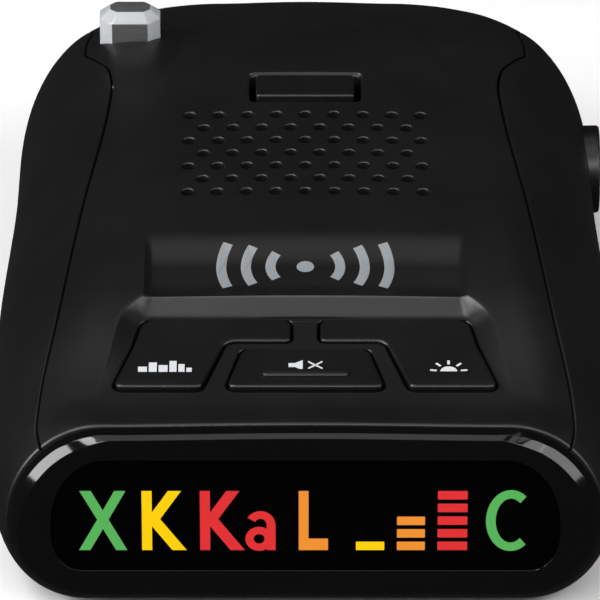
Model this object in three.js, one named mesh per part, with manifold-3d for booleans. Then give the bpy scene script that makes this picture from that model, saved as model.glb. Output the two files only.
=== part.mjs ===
// Windscreen radar detector: a black plastic housing with a glossy display bezel, three keys,
// a speaker grille, a bracket release, a clear laser lens, a volume knob and the works inside.
// Millimetres. +X is the driver's right, +Y points to the windscreen, +Z is up.
// The origin is on the underside, at the middle of the housing's length and width.
// Stations along the housing are given as s, the distance back from the display face.
import * as THREE from 'three';
import { mergeVertices } from 'three/addons/utils/BufferGeometryUtils.js';
import Module from 'manifold-3d';

const wasm = await Module();
wasm.setup();

// ---- Driving dimensions -------------------------------------------------------------------

const LENGTH = 106;
const FACE_HALF_WIDTH = 32.3; // at the display face
const MID_HALF_WIDTH = 35.75; // at the widest station
const REAR_HALF_WIDTH = 34.6; // where the rear corners begin
const WALL = 1.8;
const GAP = 0.3; // between pieces that meet
const PARTING_Z = 8.4;

const REAR_START = 78.2; // station where the plan outline starts to close
const REAR_SPAN = LENGTH - REAR_START;
const REAR_POWER = 2.85; // superellipse exponents of the rear outline
const REAR_ROOT = 1.8;
const REAR_TOP_RADIUS = 8.4;
const REAR_BOTTOM_RADIUS = 6;

const BEZEL_DEPTH = 2.1;
const COVER_FRONT = 2.4; // station of the covers' front edge, just behind the bezel
const DECK_CROWN = 0.25;

// Height of the top's centre line at each station.
const DECK = [
  [0, 23.35], [2.4, 23.75], [5, 24.2], [9, 24.95], [14, 25.95], [18, 26.75], [22.8, 27.6],
  [27, 28.3], [33, 29.1], [39, 29.6], [45, 29.9], [62, 30.3], [70, 30.6], [76, 30.85],
  [82, 30.7], [88, 30.05], [94, 29.05], [100, 27.7], [106, 27.5],
];
// Half-width of the top cover at each station. Behind the last but one it runs out to the sides.
const COVER_EDGE = [
  [0, 28.6], [2.4, 29.4], [5.6, 29.9], [9, 29.7], [24, 27.85], [46, 25.5], [66, 23.3],
  [71, 23], [75, 23.45], [79, 25.3], [81.3, 26.5], [84.2, 26.4], [88.5, 25.8], [92, 26.4], [94, 27.7],
  [96, 30.5], [98, 42],
];

const TILT = THREE.MathUtils.degToRad(8); // slope of the key pocket's floor
const POCKET_ORIGIN = [0, 2, 23.1]; // x, s, z of the floor plane at the front edge
const KEY_PROUD = 0.55;
const KEY_FRONT_Q = 7.67; // q is the distance up the pocket's floor
const KEY_ARM_Q = 16.56;
const KEY_BACK_Q = 20.5;
const MUTE_BACK_Q = 15.1;
const KEY_FLANGE = 0.55;
const KEY_DEPTH = 2.9;

const KEY_BOARD_TOP = 16;
const SWITCH_TOP = 18.6;

const BOARD_BOTTOM = 6;
const BOARD_TOP = 7.2;

const SPEAKER_S = 55;
const GRILLE = { rows: 7, columns: 9, pitchX: 3.4, pitchS: 3.057, firstS: 45.55, radius: 0.8 };

const RELEASE = { halfX: 5.85, s0: 67.7, s1: 73.1, topZ: 31.2, bottomZ: 27.4 };
const CHANNEL = { halfX: 12.3, s0: 76, z0: 19.4, z1: 22.6 }; // where the bracket's tongue slides

const LENS = { x: -21.05, s0: 81.1, s1: 86.4, halfX: 3.65, topZ: 34.9, bottomZ: 23, bevel: 1.25 };
const KNOB = { s: 80, z: 14.8, radius: 5.3, x0: 31.6, x1: 35.6 };
const JACK = { s: 50, z: 12, radius: 3, bore: 1.8, x0: 26, x1: 35.3 };
const LASER = { x: 14.5, halfX: 5, z: 12.6, halfZ: 3 };

const CASE_SCREWS = [
  ['front_left', -24.5, 26], ['front_right', 24.5, 26],
  ['rear_left', -23, 91], ['rear_right', 23, 91],
];
const BOARD_SCREWS = [['front', -17, 24], ['rear', 17, 92]];

const WINDOW = { halfX: 28.2, z0: 6.6, z1: 20.6, topRx: 6.1, topRz: 8.2, lowRx: 3.2, lowRz: 4.6 };

// ---- Materials ----------------------------------------------------------------------------

const finish = (color, roughness, metalness = 0) =>
  new THREE.MeshStandardMaterial({ color, roughness, metalness });
const MATERIAL = {
  housing: finish(0x1b1a1b, 0.5),
  gloss: finish(0x080808, 0.12),
  window: finish(0x010101, 0.06),
  key: finish(0x1d1c1d, 0.45),
  lens: finish(0xdfe8ee, 0.05),
  laser: finish(0x2a0508, 0.1),
  board: finish(0x14532d, 0.5),
  metal: finish(0xb9bcc0, 0.35, 1),
  horn: finish(0xa4a6a8, 0.45, 1),
  chip: finish(0x111111, 0.6),
  led: finish(0xf2efe0, 0.4),
  white: finish(0xe8e8e4, 0.5),
  foam: finish(0x26282b, 0.95),
  label: finish(0xb8b8b4, 0.6),
  copper: finish(0xb0682c, 0.35, 1),
};

// ---- Solids and meshes --------------------------------------------------------------------

function solidOf(geometry) {
  const bare = geometry.clone();
  bare.deleteAttribute('normal');
  bare.deleteAttribute('uv');
  const merged = mergeVertices(bare, 1e-4);
  return new wasm.Manifold(new wasm.Mesh({
    numProp: 3,
    vertProperties: new Float32Array(merged.attributes.position.array),
    triVerts: new Uint32Array(merged.index.array),
  }));
}

function geometryOf(solid) {
  const mesh = solid.getMesh();
  const geometry = new THREE.BufferGeometry();
  geometry.setAttribute('position', new THREE.BufferAttribute(new Float32Array(mesh.vertProperties), 3));
  geometry.setIndex(new THREE.BufferAttribute(new Uint32Array(mesh.triVerts), 1));
  geometry.computeVertexNormals();
  return geometry;
}

const join = (...solids) => solids.reduce((all, next) => all.add(next));
const cut = (solid, ...tools) => tools.reduce((left, tool) => left.subtract(tool), solid);

const group = new THREE.Group();

function addPiece(name, solid, material) {
  const mesh = new THREE.Mesh(geometryOf(solid), material);
  mesh.name = name;
  group.add(mesh);
}

// ---- Basic shapes. Every y here is a station s, moved to the part's frame by toY -----------

const toY = (s) => s - LENGTH / 2;

function box(x0, x1, s0, s1, z0, z1) {
  const geometry = new THREE.BoxGeometry(x1 - x0, s1 - s0, z1 - z0);
  geometry.translate((x0 + x1) / 2, toY((s0 + s1) / 2), (z0 + z1) / 2);
  return solidOf(geometry);
}

// A cylinder from one height (or station, or x) to another, along the named axis.
function rod(axis, radius, centre, from, to, sides = 16, endRadius = radius) {
  const geometry = new THREE.CylinderGeometry(endRadius, radius, to - from, sides);
  const middle = (from + to) / 2;
  if (axis === 'x') {
    geometry.rotateZ(-Math.PI / 2);
    geometry.translate(middle, toY(centre[0]), centre[1]);
  } else if (axis === 'y') {
    geometry.translate(centre[0], toY(middle), centre[1]);
  } else {
    geometry.rotateX(Math.PI / 2);
    geometry.translate(centre[0], toY(centre[1]), middle);
  }
  return solidOf(geometry);
}

// A closed solid through rings of points [x, s, z], each with the same number of points.
function loft(rings) {
  const count = rings[0].length;
  const points = rings.flat().map(([x, s, z]) => [x, toY(s), z]);
  const faces = [];
  for (let r = 0; r + 1 < rings.length; r++) {
    for (let i = 0; i < count; i++) {
      const a = r * count + i;
      const b = r * count + ((i + 1) % count);
      faces.push([a, b, b + count], [a, b + count, a + count]);
    }
  }
  for (const [first, turned] of [[0, true], [(rings.length - 1) * count, false]]) {
    const ring = points.slice(first, first + count);
    const centre = [0, 1, 2].map((k) => ring.reduce((sum, p) => sum + p[k], 0) / count);
    const hub = points.push(centre) - 1;
    for (let i = 0; i < count; i++) {
      const next = first + ((i + 1) % count);
      faces.push(turned ? [hub, next, first + i] : [hub, first + i, next]);
    }
  }
  const geometry = new THREE.BufferGeometry();
  geometry.setAttribute('position', new THREE.BufferAttribute(new Float32Array(points.flat()), 3));
  geometry.setIndex(faces.flat());
  const solid = solidOf(geometry);
  if (solid.volume() > 0) return solid;
  geometry.setIndex(faces.map(([a, b, c]) => [a, c, b]).flat());
  return solidOf(geometry);
}

// A prism over a plan outline of points [x, s].
const prism = (outline, z0, z1) => loft([z0, z1].map((z) => outline.map(([x, s]) => [x, s, z])));

// ---- The housing's outer form --------------------------------------------------------------

const clamp01 = (t) => Math.min(Math.max(t, 0), 1);
const smooth = (t) => clamp01(t) ** 2 * (3 - 2 * clamp01(t));
const quarterDrop = (t) => 1 - Math.sqrt(1 - clamp01(t) ** 2);

function along(table, s) {
  const last = table.length - 1;
  if (s <= table[0][0]) return table[0][1];
  if (s >= table[last][0]) return table[last][1];
  const i = table.findIndex((row) => row[0] > s);
  const [s0, v0] = table[i - 1];
  const [s1, v1] = table[i];
  return v0 + ((v1 - v0) * (s - s0)) / (s1 - s0);
}

function halfWidth(s) {
  if (s < 26) {
    const open = 1 - (1 - clamp01(s / 26)) ** 4;
    return FACE_HALF_WIDTH + (MID_HALF_WIDTH - FACE_HALF_WIDTH) * open;
  }
  const straight = REAR_HALF_WIDTH + (MID_HALF_WIDTH - REAR_HALF_WIDTH) * smooth((72 - s) / 36);
  const t = clamp01((s - REAR_START) / REAR_SPAN);
  return straight * (1 - t ** REAR_POWER) ** (1 / REAR_ROOT);
}

const deckZ = (s) =>
  along(DECK, s) - REAR_TOP_RADIUS * quarterDrop((s - LENGTH + REAR_TOP_RADIUS) / REAR_TOP_RADIUS);
const underZ = (s) =>
  3.4 * (1 - clamp01(s / 7)) ** 2 + 4 * quarterDrop((s - LENGTH + REAR_BOTTOM_RADIUS) / REAR_BOTTOM_RADIUS);
const waistZ = (s) => 11 + 2 * smooth(s / 60);
const shoulderX = (s) => 11 + 3 * smooth(s / 40) - 3.1 * smooth((s - 60) / 30);
const HIP_X = 9;

// The housing's cross-section at station s, drawn in by inset, as a ring at station at.
function housingRing(s, inset = 0, at = s) {
  const half = halfWidth(s) - inset;
  const top = deckZ(s) - inset;
  const bottom = underZ(s) + inset;
  const waist = waistZ(s);
  const rTop = Math.min(shoulderX(s) - inset, half * 0.85);
  const rLow = Math.min(HIP_X - inset, half * 0.8);
  const side = [[half - rLow, bottom]];
  for (const a of [-67.5, -45, -22.5, 0]) {
    const turn = THREE.MathUtils.degToRad(a);
    side.push([half - rLow * (1 - Math.cos(turn)), waist + (waist - bottom) * Math.sin(turn)]);
  }
  for (const a of [15, 30, 45, 60, 75, 90]) {
    const turn = THREE.MathUtils.degToRad(a);
    side.push([half - rTop * (1 - Math.cos(turn)), waist + (top - waist) * Math.sin(turn)]);
  }
  side.push([(half - rTop) / 2, top + DECK_CROWN * 0.75]);
  const right = [[0, bottom], ...side, [0, top + DECK_CROWN]];
  const left = side.map(([x, z]) => [-x, z]).reverse();
  return [...right, ...left].map(([x, z]) => [x, at, z]);
}

const REAR_STATIONS = [81, 86, 91, 95, 98.5, 101, 103, 104.6, 105.5, 105.9];
const BODY_STATIONS = [5, 9, 14, 18, 22.8, 27, 33, 45, 62, 74, ...REAR_STATIONS];

const housingForm = loft([COVER_FRONT, ...BODY_STATIONS].map((s) => housingRing(s)));
function innerForm(inset) {
  const front = [-3, 1.5].map((at) => housingRing(2.4, inset, at));
  const rest = BODY_STATIONS.map((s) => housingRing(s, inset, s - inset * smooth((s - 60) / 40)));
  return loft([...front, ...rest]);
}
const cavityForm = innerForm(WALL);
const housingWall = cut(housingForm, cavityForm);

const topHalf = housingWall.intersect(box(-50, 50, -10, 120, PARTING_Z + GAP / 2, 50));
const bottomHalf = housingWall.intersect(box(-50, 50, -10, 120, -5, PARTING_Z - GAP / 2));

function coverOutline(margin) {
  const right = COVER_EDGE.map(([s, x]) => [x + margin, s]);
  const tail = [[42 + margin, 120]];
  const side = [[right[0][0], -5], ...right, ...tail];
  return [...side, ...side.map(([x, s]) => [-x, s]).reverse()];
}

// ---- The key pocket's tilted frame ----------------------------------------------------------

const pocketFrame = new THREE.Matrix4()
  .makeTranslation(POCKET_ORIGIN[0], toY(POCKET_ORIGIN[1]), POCKET_ORIGIN[2])
  .multiply(new THREE.Matrix4().makeRotationX(TILT));

function inPocket(solid) {
  const geometry = geometryOf(solid);
  geometry.applyMatrix4(pocketFrame);
  return solidOf(geometry);
}

// In this frame the plan outline's second number is q, and heights are above the floor.
const pocketLoft = (levels) =>
  inPocket(loft(levels.map(([outline, h]) => outline.map(([x, q]) => [x, q + LENGTH / 2, h]))));

const mirrored = (outline) => outline.map(([x, q]) => [-x, q]).reverse();

function bothSides(right) {
  return [...right, ...mirrored(right)];
}

const POCKET_FLOOR = bothSides([[22.3, 5], [21.9, 7.5], [19.7, 15.6], [19, 19.6], [18.1, 20.9]]);
const POCKET_MOUTH = bothSides([[25.4, 3], [24.9, 8], [24.2, 15.8], [22.9, 20.4], [18.4, 25.7]]);
const POCKET_MOUTH_H = 3;

const CITY_OUTLINE = [
  [-21.5, KEY_FRONT_Q], [-11.7, KEY_FRONT_Q], [-9, KEY_ARM_Q], [-1.65, KEY_ARM_Q],
  [-1.65, KEY_BACK_Q], [-17.9, KEY_BACK_Q], [-18.6, 19.4], [-19.3, 15.5],
];
const MUTE_OUTLINE = [
  [-8.85, KEY_FRONT_Q], [8.85, KEY_FRONT_Q], [7.1, MUTE_BACK_Q], [-7.1, MUTE_BACK_Q],
];
const KEYS = [
  { name: 'city', outline: CITY_OUTLINE, post: [-16, 12], backH: 0.08 },
  { name: 'mute', outline: MUTE_OUTLINE, post: [0, 11.5], backH: 0.1 },
  { name: 'dim', outline: mirrored(CITY_OUTLINE), post: [16, 12], backH: 0.08 },
];

// Moves each edge of a plan outline outwards by margin, keeping the corners sharp.
function grown(outline, margin) {
  const area = outline.reduce((sum, [x, y], i) => {
    const [x2, y2] = outline[(i + 1) % outline.length];
    return sum + x * y2 - x2 * y;
  }, 0);
  const sign = Math.sign(area);
  return outline.map(([x, y], i) => {
    const [xa, ya] = outline[(i + outline.length - 1) % outline.length];
    const [xb, yb] = outline[(i + 1) % outline.length];
    const before = new THREE.Vector2(y - ya, xa - x).normalize();
    const after = new THREE.Vector2(yb - y, x - xb).normalize();
    const middle = before.clone().add(after).normalize();
    const reach = (sign * margin) / middle.dot(before);
    return [x + middle.x * reach, y + middle.y * reach];
  });
}

// ---- Covers --------------------------------------------------------------------------------

function topCover() {
  let cover = topHalf.intersect(prism(coverOutline(-GAP / 2), 0, 50));
  const pocketSlab = pocketLoft([
    [bothSides([[26.2, 0.2], [25.7, 16], [20.4, 24.4]]), -1.7],
    [bothSides([[26.2, 0.2], [25.7, 16], [20.4, 24.4]]), 4],
  ]).intersect(cut(housingForm, box(-50, 50, -10, 5.9, 0, 50)));
  cover = cover.add(pocketSlab);
  cover = cut(cover, pocketLoft([[POCKET_FLOOR, 0], [POCKET_MOUTH, POCKET_MOUTH_H]]));
  for (const key of KEYS) {
    const hole = grown(key.outline, GAP);
    cover = cut(cover, pocketLoft([[hole, -4], [hole, 3]]));
  }
  for (const [, x, s] of CASE_SCREWS) {
    const boss = rod('z', 2.4, [x, s], 9.2, 28, 12).intersect(innerForm(WALL - 0.6));
    cover = cut(cover.add(boss), rod('z', 1.35, [x, s], 5, 20, 12));
  }
  cover = cover.add(lensFairing());
  const { halfX, s0, s1 } = RELEASE;
  return cut(
    cover,
    ...grilleHoles(),
    box(-halfX - 0.8, halfX + 0.8, s0 - 0.7, s1 + 0.5, 20, 40),
    lensBlock(GAP),
    box(-CHANNEL.halfX, CHANNEL.halfX, 90, 120, CHANNEL.z0, CHANNEL.z1),
    laserOpening(0),
  );
}

function grilleHoles() {
  const holes = [];
  for (let row = 0; row < GRILLE.rows; row++) {
    const count = GRILLE.columns - (row % 2);
    for (let column = 0; column < count; column++) {
      const x = (column - (count - 1) / 2) * GRILLE.pitchX;
      const s = GRILLE.firstS + row * GRILLE.pitchS;
      holes.push(rod('z', GRILLE.radius, [x, s], 22, 40, 6));
    }
  }
  return holes;
}

// The low rounded bump in front of the clear lens.
function lensFairing() {
  const geometry = new THREE.SphereGeometry(1, 12, 8);
  geometry.scale(4.1, 8.5, 2.5);
  geometry.translate(LENS.x + 0.8, toY(80), 29.3);
  return cut(solidOf(geometry), cavityForm).intersect(prism(coverOutline(-GAP / 2), 0, 50));
}

const laserOpening = (inset) => box(
  LASER.x - LASER.halfX + inset, LASER.x + LASER.halfX - inset, 90, 120,
  LASER.z - LASER.halfZ + inset, LASER.z + LASER.halfZ - inset,
);

function sidePanel(side) {
  const half = side < 0 ? box(-50, -1, -10, 120, 0, 50) : box(1, 50, -10, 120, 0, 50);
  let panel = cut(topHalf, prism(coverOutline(GAP / 2), 0, 50)).intersect(half);
  if (side > 0) {
    panel = cut(
      panel,
      rod('x', KNOB.radius + GAP, [KNOB.s, KNOB.z], 28, 45, 36),
      rod('x', JACK.radius + GAP, [JACK.s, JACK.z], 28, 45, 16),
    );
  }
  return panel;
}

function bottomShell() {
  let shell = bottomHalf;
  for (const [, x, s] of CASE_SCREWS) {
    shell = shell.add(rod('z', 3.6, [x, s], 0.6, 5.4, 16).intersect(housingForm));
  }
  for (const [, x, s] of BOARD_SCREWS) {
    shell = shell.add(rod('z', 2.3, [x, s], 1, BOARD_BOTTOM - 0.05, 12));
  }
  for (const [x, s] of [[17, 24], [-17, 92]]) {
    shell = shell.add(rod('z', 1.6, [x, s], 1, BOARD_BOTTOM - 0.05, 12));
  }
  for (const [, x, s] of CASE_SCREWS) {
    shell = cut(shell, rod('z', 2.7, [x, s], -1, 3.4, 16), rod('z', 1.45, [x, s], -1, 9, 12));
  }
  for (const [, x, s] of BOARD_SCREWS) {
    shell = cut(shell, rod('z', 1.2, [x, s], 2, 9, 12));
  }
  return cut(shell, labelRecess(0, -1, 0.5));
}

const labelRecess = (inset, z0, z1) => box(-20 + inset, 20 - inset, 62 + inset, 84 - inset, z0, z1);

// ---- Display -------------------------------------------------------------------------------

// The display opening's outline, grown by margin, as a ring at station s.
function windowRing(margin, s) {
  const { halfX, z0, z1, topRx, topRz, lowRx, lowRz } = WINDOW;
  const right = [];
  for (const a of [0, 30, 60, 90]) {
    const turn = THREE.MathUtils.degToRad(a);
    right.push([halfX - lowRx * (1 - Math.sin(turn)), z0 + lowRz * (1 - Math.cos(turn)), turn - Math.PI / 2]);
  }
  for (const a of [0, 22.5, 45, 67.5, 90]) {
    const turn = THREE.MathUtils.degToRad(a);
    right.push([halfX - topRx * (1 - Math.cos(turn)), z1 - topRz * (1 - Math.sin(turn)), turn]);
  }
  const moved = right.map(([x, z, turn]) => [x + margin * Math.cos(turn), z + margin * Math.sin(turn)]);
  const ring = [...moved, ...moved.map(([x, z]) => [-x, z]).reverse()];
  return ring.map(([x, z]) => [x, s, z]);
}

function frontBezel() {
  const lip = [[0, 0.4], [0.35, 0], [BEZEL_DEPTH, 0]].map(([at, inset]) => housingRing(at, inset));
  const skirt = [BEZEL_DEPTH - 0.2, 5.6].map((at) => housingRing(2.4, WALL + GAP, at));
  const hollow = [1.7, 7].map((at) => windowRing(0.8, at));
  const opening = [-1, 3].map((at) => windowRing(0, at));
  return cut(join(loft(lip), loft(skirt)), loft(hollow), loft(opening));
}

function displayWindow() {
  const pad = loft([0.12, 2].map((at) => windowRing(-GAP, at)));
  const flange = loft([1.85, 2.6].map((at) => windowRing(0.5, at)));
  return pad.add(flange);
}

// Columns of the display: name, centre x and half-width of the light well behind the icon.
const ICONS = [
  ['x_band', -22.5, 2.9], ['k_band', -15.7, 2.7], ['ka_band', -7.4, 4.4], ['laser', 0.9, 2.4],
  ['signal_low', 7.2, 2.1], ['signal_mid', 11.7, 1.9], ['signal_high', 16.3, 1.9], ['city', 22.5, 2.8],
];
const WELL = { z0: 8.5, z1: 17.2, s0: 3.2, s1: 6.2 };

function lightGuide() {
  const block = box(-26.2, 26.2, WELL.s0, WELL.s1, 7.5, 18);
  return cut(block, ...ICONS.map(([, x, half]) => box(x - half, x + half, 0, 10, WELL.z0, WELL.z1)));
}

// ---- Pieces that work the keys, the release and the laser lens -------------------------------

function keyCap(key) {
  const stem = loft([-2.4, 0].map((h) => key.outline.map(([x, q]) => [x, q + LENGTH / 2, h])));
  const top = key.outline.map(([x, q]) => {
    const back = (q - KEY_FRONT_Q) / (KEY_BACK_Q - KEY_FRONT_Q);
    return [x, q + LENGTH / 2, KEY_PROUD + (key.backH - KEY_PROUD) * back * (key.name === 'mute' ? 1.7 : 1)];
  });
  const crown = loft([key.outline.map(([x, q]) => [x, q + LENGTH / 2, -1]), top]);
  const flange = pocketLoft([-KEY_DEPTH, -2.1].map((h) => [grown(key.outline, KEY_FLANGE), h]));
  const post = pocketLoft([-KEY_DEPTH - 1.2, -KEY_DEPTH + 0.3].map((h) => [circle(key.post, 1.3, 10), h]));
  const bar = pocketLoft([0.2, 0.75].map((h) => [[[-4.8, 9.6], [4.8, 9.6], [4.8, 10.6], [-4.8, 10.6]], h]));
  const cap = join(flange, inPocket(stem), inPocket(crown), post);
  return key.name === 'mute' ? cap.add(bar) : cap;
}

function circle([x, y], radius, sides) {
  return Array.from({ length: sides }, (_, i) => {
    const a = (2 * Math.PI * i) / sides;
    return [x + radius * Math.cos(a), y + radius * Math.sin(a)];
  });
}

function lensBlock(margin) {
  const { x, s0, s1, halfX, topZ, bottomZ, bevel } = LENS;
  const ring = (inset, z) => {
    const half = halfX + margin - inset;
    const corner = Math.min(bevel, half * 0.45);
    const [near, far] = [s0 - margin + inset, s1 + margin - inset];
    const right = [[half - corner, near], [half, near + corner], [half, far - corner], [half - corner, far]];
    return bothSides(right).map(([dx, s]) => [x + dx, s, z]);
  };
  return loft([ring(0, bottomZ), ring(0, topZ - bevel + margin), ring(bevel, topZ + margin)]);
}

function releaseButton() {
  const { halfX, s0, s1, topZ, bottomZ } = RELEASE;
  const ring = (inset, z) =>
    bothSides([[halfX - inset, s0 + inset], [halfX - inset, s1 - inset]]).map(([x, s]) => [x, s, z]);
  const cap = loft([ring(0, bottomZ), ring(0, topZ - 0.3), ring(0.3, topZ)]);
  return cap.add(box(-halfX - 1.6, halfX + 1.6, s0 + 0.3, s1 - 0.3, bottomZ, bottomZ + 1));
}

function releaseLatch() {
  const foot = CHANNEL.z0 + 1;
  const leg = box(-3.5, 3.5, 71.3, 72.5, foot, RELEASE.bottomZ - 0.1);
  return leg.add(box(-3.5, 3.5, 71.3, 75.4, foot, foot + 1.3));
}

// A helical spring standing at [x, s], from z0 to z1.
function coilSpring([x, s], radius, wire, z0, z1, turns) {
  const steps = turns * 10;
  const path = Array.from({ length: steps + 1 }, (_, i) => {
    const a = (2 * Math.PI * i) / 10;
    const z = z0 + wire + ((z1 - z0 - 2 * wire) * i) / steps;
    return new THREE.Vector3(x + radius * Math.cos(a), toY(s) + radius * Math.sin(a), z);
  });
  const section = new THREE.Shape(circle([0, 0], wire, 6).map(([a, b]) => new THREE.Vector2(a, b)));
  const curve = new THREE.CatmullRomCurve3(path);
  return solidOf(new THREE.ExtrudeGeometry(section, { steps, extrudePath: curve, bevelEnabled: false }));
}

function bracketSocket() {
  const { halfX, s0, z0, z1 } = CHANNEL;
  const sleeve = cut(
    box(-halfX - 1.6, halfX + 1.6, s0, 112, z0 - 1.3, z1 + 1.2),
    box(-halfX, halfX, s0 - 1, 120, z0, z1),
  ).intersect(innerForm(WALL + GAP));
  return sleeve.add(box(-7, 7, 66.2, s0 + 1, z0 - 1.3, z0 - 0.5));
}

// ---- Radar, sound and power -----------------------------------------------------------------

function hornAntenna() {
  const plate = (x0, x1, z0, z1, s) => [[x0, s, z0], [x1, s, z0], [x1, s, z1], [x0, s, z1]];
  const outer = loft([
    plate(-11, 1, 8.6, 14.4, 78), plate(-11, 1, 8.6, 14.4, 82), plate(-18, 8, 7.5, 17.2, 98.5),
  ]);
  const inner = loft([
    plate(-9.8, -0.2, 9.8, 13.2, 77), plate(-9.8, -0.2, 9.8, 13.2, 82.4), plate(-17, 7, 8.5, 16.2, 99.5),
  ]);
  return cut(outer, inner);
}

const lathe = (profile, [x, s], z0, sides = 24) => {
  const geometry = new THREE.LatheGeometry(profile.map(([r, z]) => new THREE.Vector2(r, z)), sides);
  geometry.rotateX(Math.PI / 2);
  geometry.translate(x, toY(s), z0);
  return solidOf(geometry);
};

function speakerParts() {
  const at = [0, SPEAKER_S];
  const basket = [
    [0, 3.6], [7.5, 3.6], [11.6, 7.4], [12.2, 7.4], [12.2, 8.2], [11.2, 8.2], [6.6, 4.4], [0, 4.4],
  ];
  const cone = [
    [0, 5.4], [3, 5], [7, 5.4], [10.5, 7.9], [10.7, 8.3], [10, 8.3], [6.8, 6], [3, 5.6], [0, 6],
  ];
  return {
    speaker_basket: [lathe(basket, at, 18.4), MATERIAL.metal],
    speaker_magnet: [rod('z', 7.4, at, 18.6, 21.9, 24), MATERIAL.chip],
    speaker_cone: [lathe(cone, at, 18.4), MATERIAL.foam],
    speaker_gasket: [cut(rod('z', 12.2, at, 26.8, 27.9, 24), rod('z', 10.9, at, 26, 29, 24)), MATERIAL.foam],
  };
}

function mainBoard() {
  const jackEar = [[21.5, 44], [29.5, 44], [29.5, 56], [21.5, 56]];
  const knobEar = [[21.5, 74], [29.5, 74], [29.5, 86], [21.5, 86]];
  const right = [[21.5, 8.6], ...jackEar, ...knobEar, [21.5, 96]];
  const left = [[-21.5, 96], [-21.5, 8.6]];
  const outline = new THREE.Shape([...right, ...left].map(([x, s]) => new THREE.Vector2(x, toY(s))));
  const geometry = new THREE.ExtrudeGeometry(outline, { depth: BOARD_TOP - BOARD_BOTTOM, bevelEnabled: false });
  geometry.translate(0, 0, BOARD_BOTTOM);
  return cut(solidOf(geometry), ...BOARD_SCREWS.map(([, x, s]) => rod('z', 1.25, [x, s], 0, 10, 12)));
}

function volumeKnob() {
  const { s, z, radius, x0, x1 } = KNOB;
  const body = join(
    rod('x', radius, [s, z], x0, x1 - 0.4, 36),
    rod('x', radius, [s, z], x1 - 0.4, x1, 36, radius - 0.4),
  );
  const pointer = box(x1 - 0.4, x1 + 1, s - 0.4, s + 0.4, z + 2, z + 4.6);
  return cut(body, pointer, rod('x', 1.8, [s, z], x0 - 1, x1 - 1.4, 16));
}

function powerJack() {
  const { s, z, radius, bore, x0, x1 } = JACK;
  const shell = join(box(x0 - 2, 31.6, s - 4, s + 4, BOARD_TOP + 0.05, 16.4), rod('x', radius, [s, z], 31, x1, 16));
  return cut(shell, rod('x', bore, [s, z], x0, x1 + 1, 16));
}

function screw(x, s, headZ, headRadius, headDepth, shaftRadius, tipZ, up) {
  const head = up
    ? rod('z', headRadius, [x, s], headZ, headZ + headDepth, 16)
    : rod('z', headRadius, [x, s], headZ - headDepth, headZ, 16);
  const inside = up ? headZ + headDepth - 0.3 : headZ - headDepth + 0.3;
  const shaft = rod('z', shaftRadius, [x, s], Math.min(inside, tipZ), Math.max(inside, tipZ), 10);
  const reach = headRadius * 0.55;
  const slotZ = up ? [headZ - 1, headZ + 0.6] : [headZ - 0.6, headZ + 1];
  return cut(
    head.add(shaft),
    box(x - reach, x + reach, s - 0.3, s + 0.3, ...slotZ),
    box(x - 0.3, x + 0.3, s - reach, s + reach, ...slotZ),
  );
}

// ---- Assembly ------------------------------------------------------------------------------

addPiece('top_cover', topCover(), MATERIAL.housing);
addPiece('left_side_panel', sidePanel(-1), MATERIAL.housing);
addPiece('right_side_panel', sidePanel(1), MATERIAL.housing);
addPiece('bottom_shell', bottomShell(), MATERIAL.housing);
addPiece('rating_label', labelRecess(GAP, 0.1, 0.45), MATERIAL.label);

addPiece('front_bezel', frontBezel(), MATERIAL.gloss);
addPiece('display_window', displayWindow(), MATERIAL.window);
addPiece('icon_film', box(-26.2, 26.2, 2.75, 3, 7.5, 18), MATERIAL.chip);
addPiece('light_guide', lightGuide(), MATERIAL.white);
addPiece('display_board', box(-26.5, 26.5, 6.35, 7.35, 7.5, 20.4), MATERIAL.board);
for (const [name, x] of ICONS) {
  addPiece(`led_${name}`, box(x - 0.9, x + 0.9, 5.5, 6.3, 12, 13.6), MATERIAL.led);
}

for (const key of KEYS) {
  const [x, q] = key.post;
  const s = POCKET_ORIGIN[1] + q * Math.cos(TILT) + (KEY_DEPTH + 1.2) * Math.sin(TILT);
  const body = box(x - 3, x + 3, s - 2.5, s + 2.5, KEY_BOARD_TOP + 0.05, SWITCH_TOP);
  const well = rod('z', 1.45, [x, s], SWITCH_TOP - 1.6, SWITCH_TOP + 1, 10);
  const plungerTop = POCKET_ORIGIN[2] + q * Math.sin(TILT) - (KEY_DEPTH + 1.2) * Math.cos(TILT) - 0.3;
  addPiece(`${key.name}_key`, keyCap(key), MATERIAL.key);
  addPiece(`${key.name}_switch`, cut(body, well), MATERIAL.chip);
  addPiece(`${key.name}_plunger`, rod('z', 1.15, [x, s], SWITCH_TOP - 0.9, plungerTop, 10), MATERIAL.white);
}
addPiece('key_board', box(-23, 23, 9.2, 20, KEY_BOARD_TOP - 1, KEY_BOARD_TOP), MATERIAL.board);

addPiece('release_button', releaseButton(), MATERIAL.key);
addPiece('release_latch', releaseLatch(), MATERIAL.housing);
addPiece(
  'release_spring',
  coilSpring([0, 69.6], 1.1, 0.2, CHANNEL.z0 - 0.45, RELEASE.bottomZ - 0.05, 6),
  MATERIAL.metal,
);
addPiece('bracket_socket', bracketSocket(), MATERIAL.housing);

addPiece('laser_lens', lensBlock(0), MATERIAL.lens);
addPiece('rear_laser_sensor', box(LENS.x - 2.4, LENS.x + 2.4, 82, 86.6, 20.6, 22.6), MATERIAL.chip);
addPiece('rear_sensor_board', box(LENS.x - 3.6, LENS.x + 3.6, 80.6, 88, 19.5, 20.5), MATERIAL.board);
addPiece(
  'front_laser_window',
  laserOpening(GAP).intersect(cut(housingForm, innerForm(WALL - 0.4))),
  MATERIAL.laser,
);
addPiece('front_laser_sensor', box(LASER.x - 3, LASER.x + 3, 92.5, 95.5, 9.6, 15.6), MATERIAL.chip);

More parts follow.
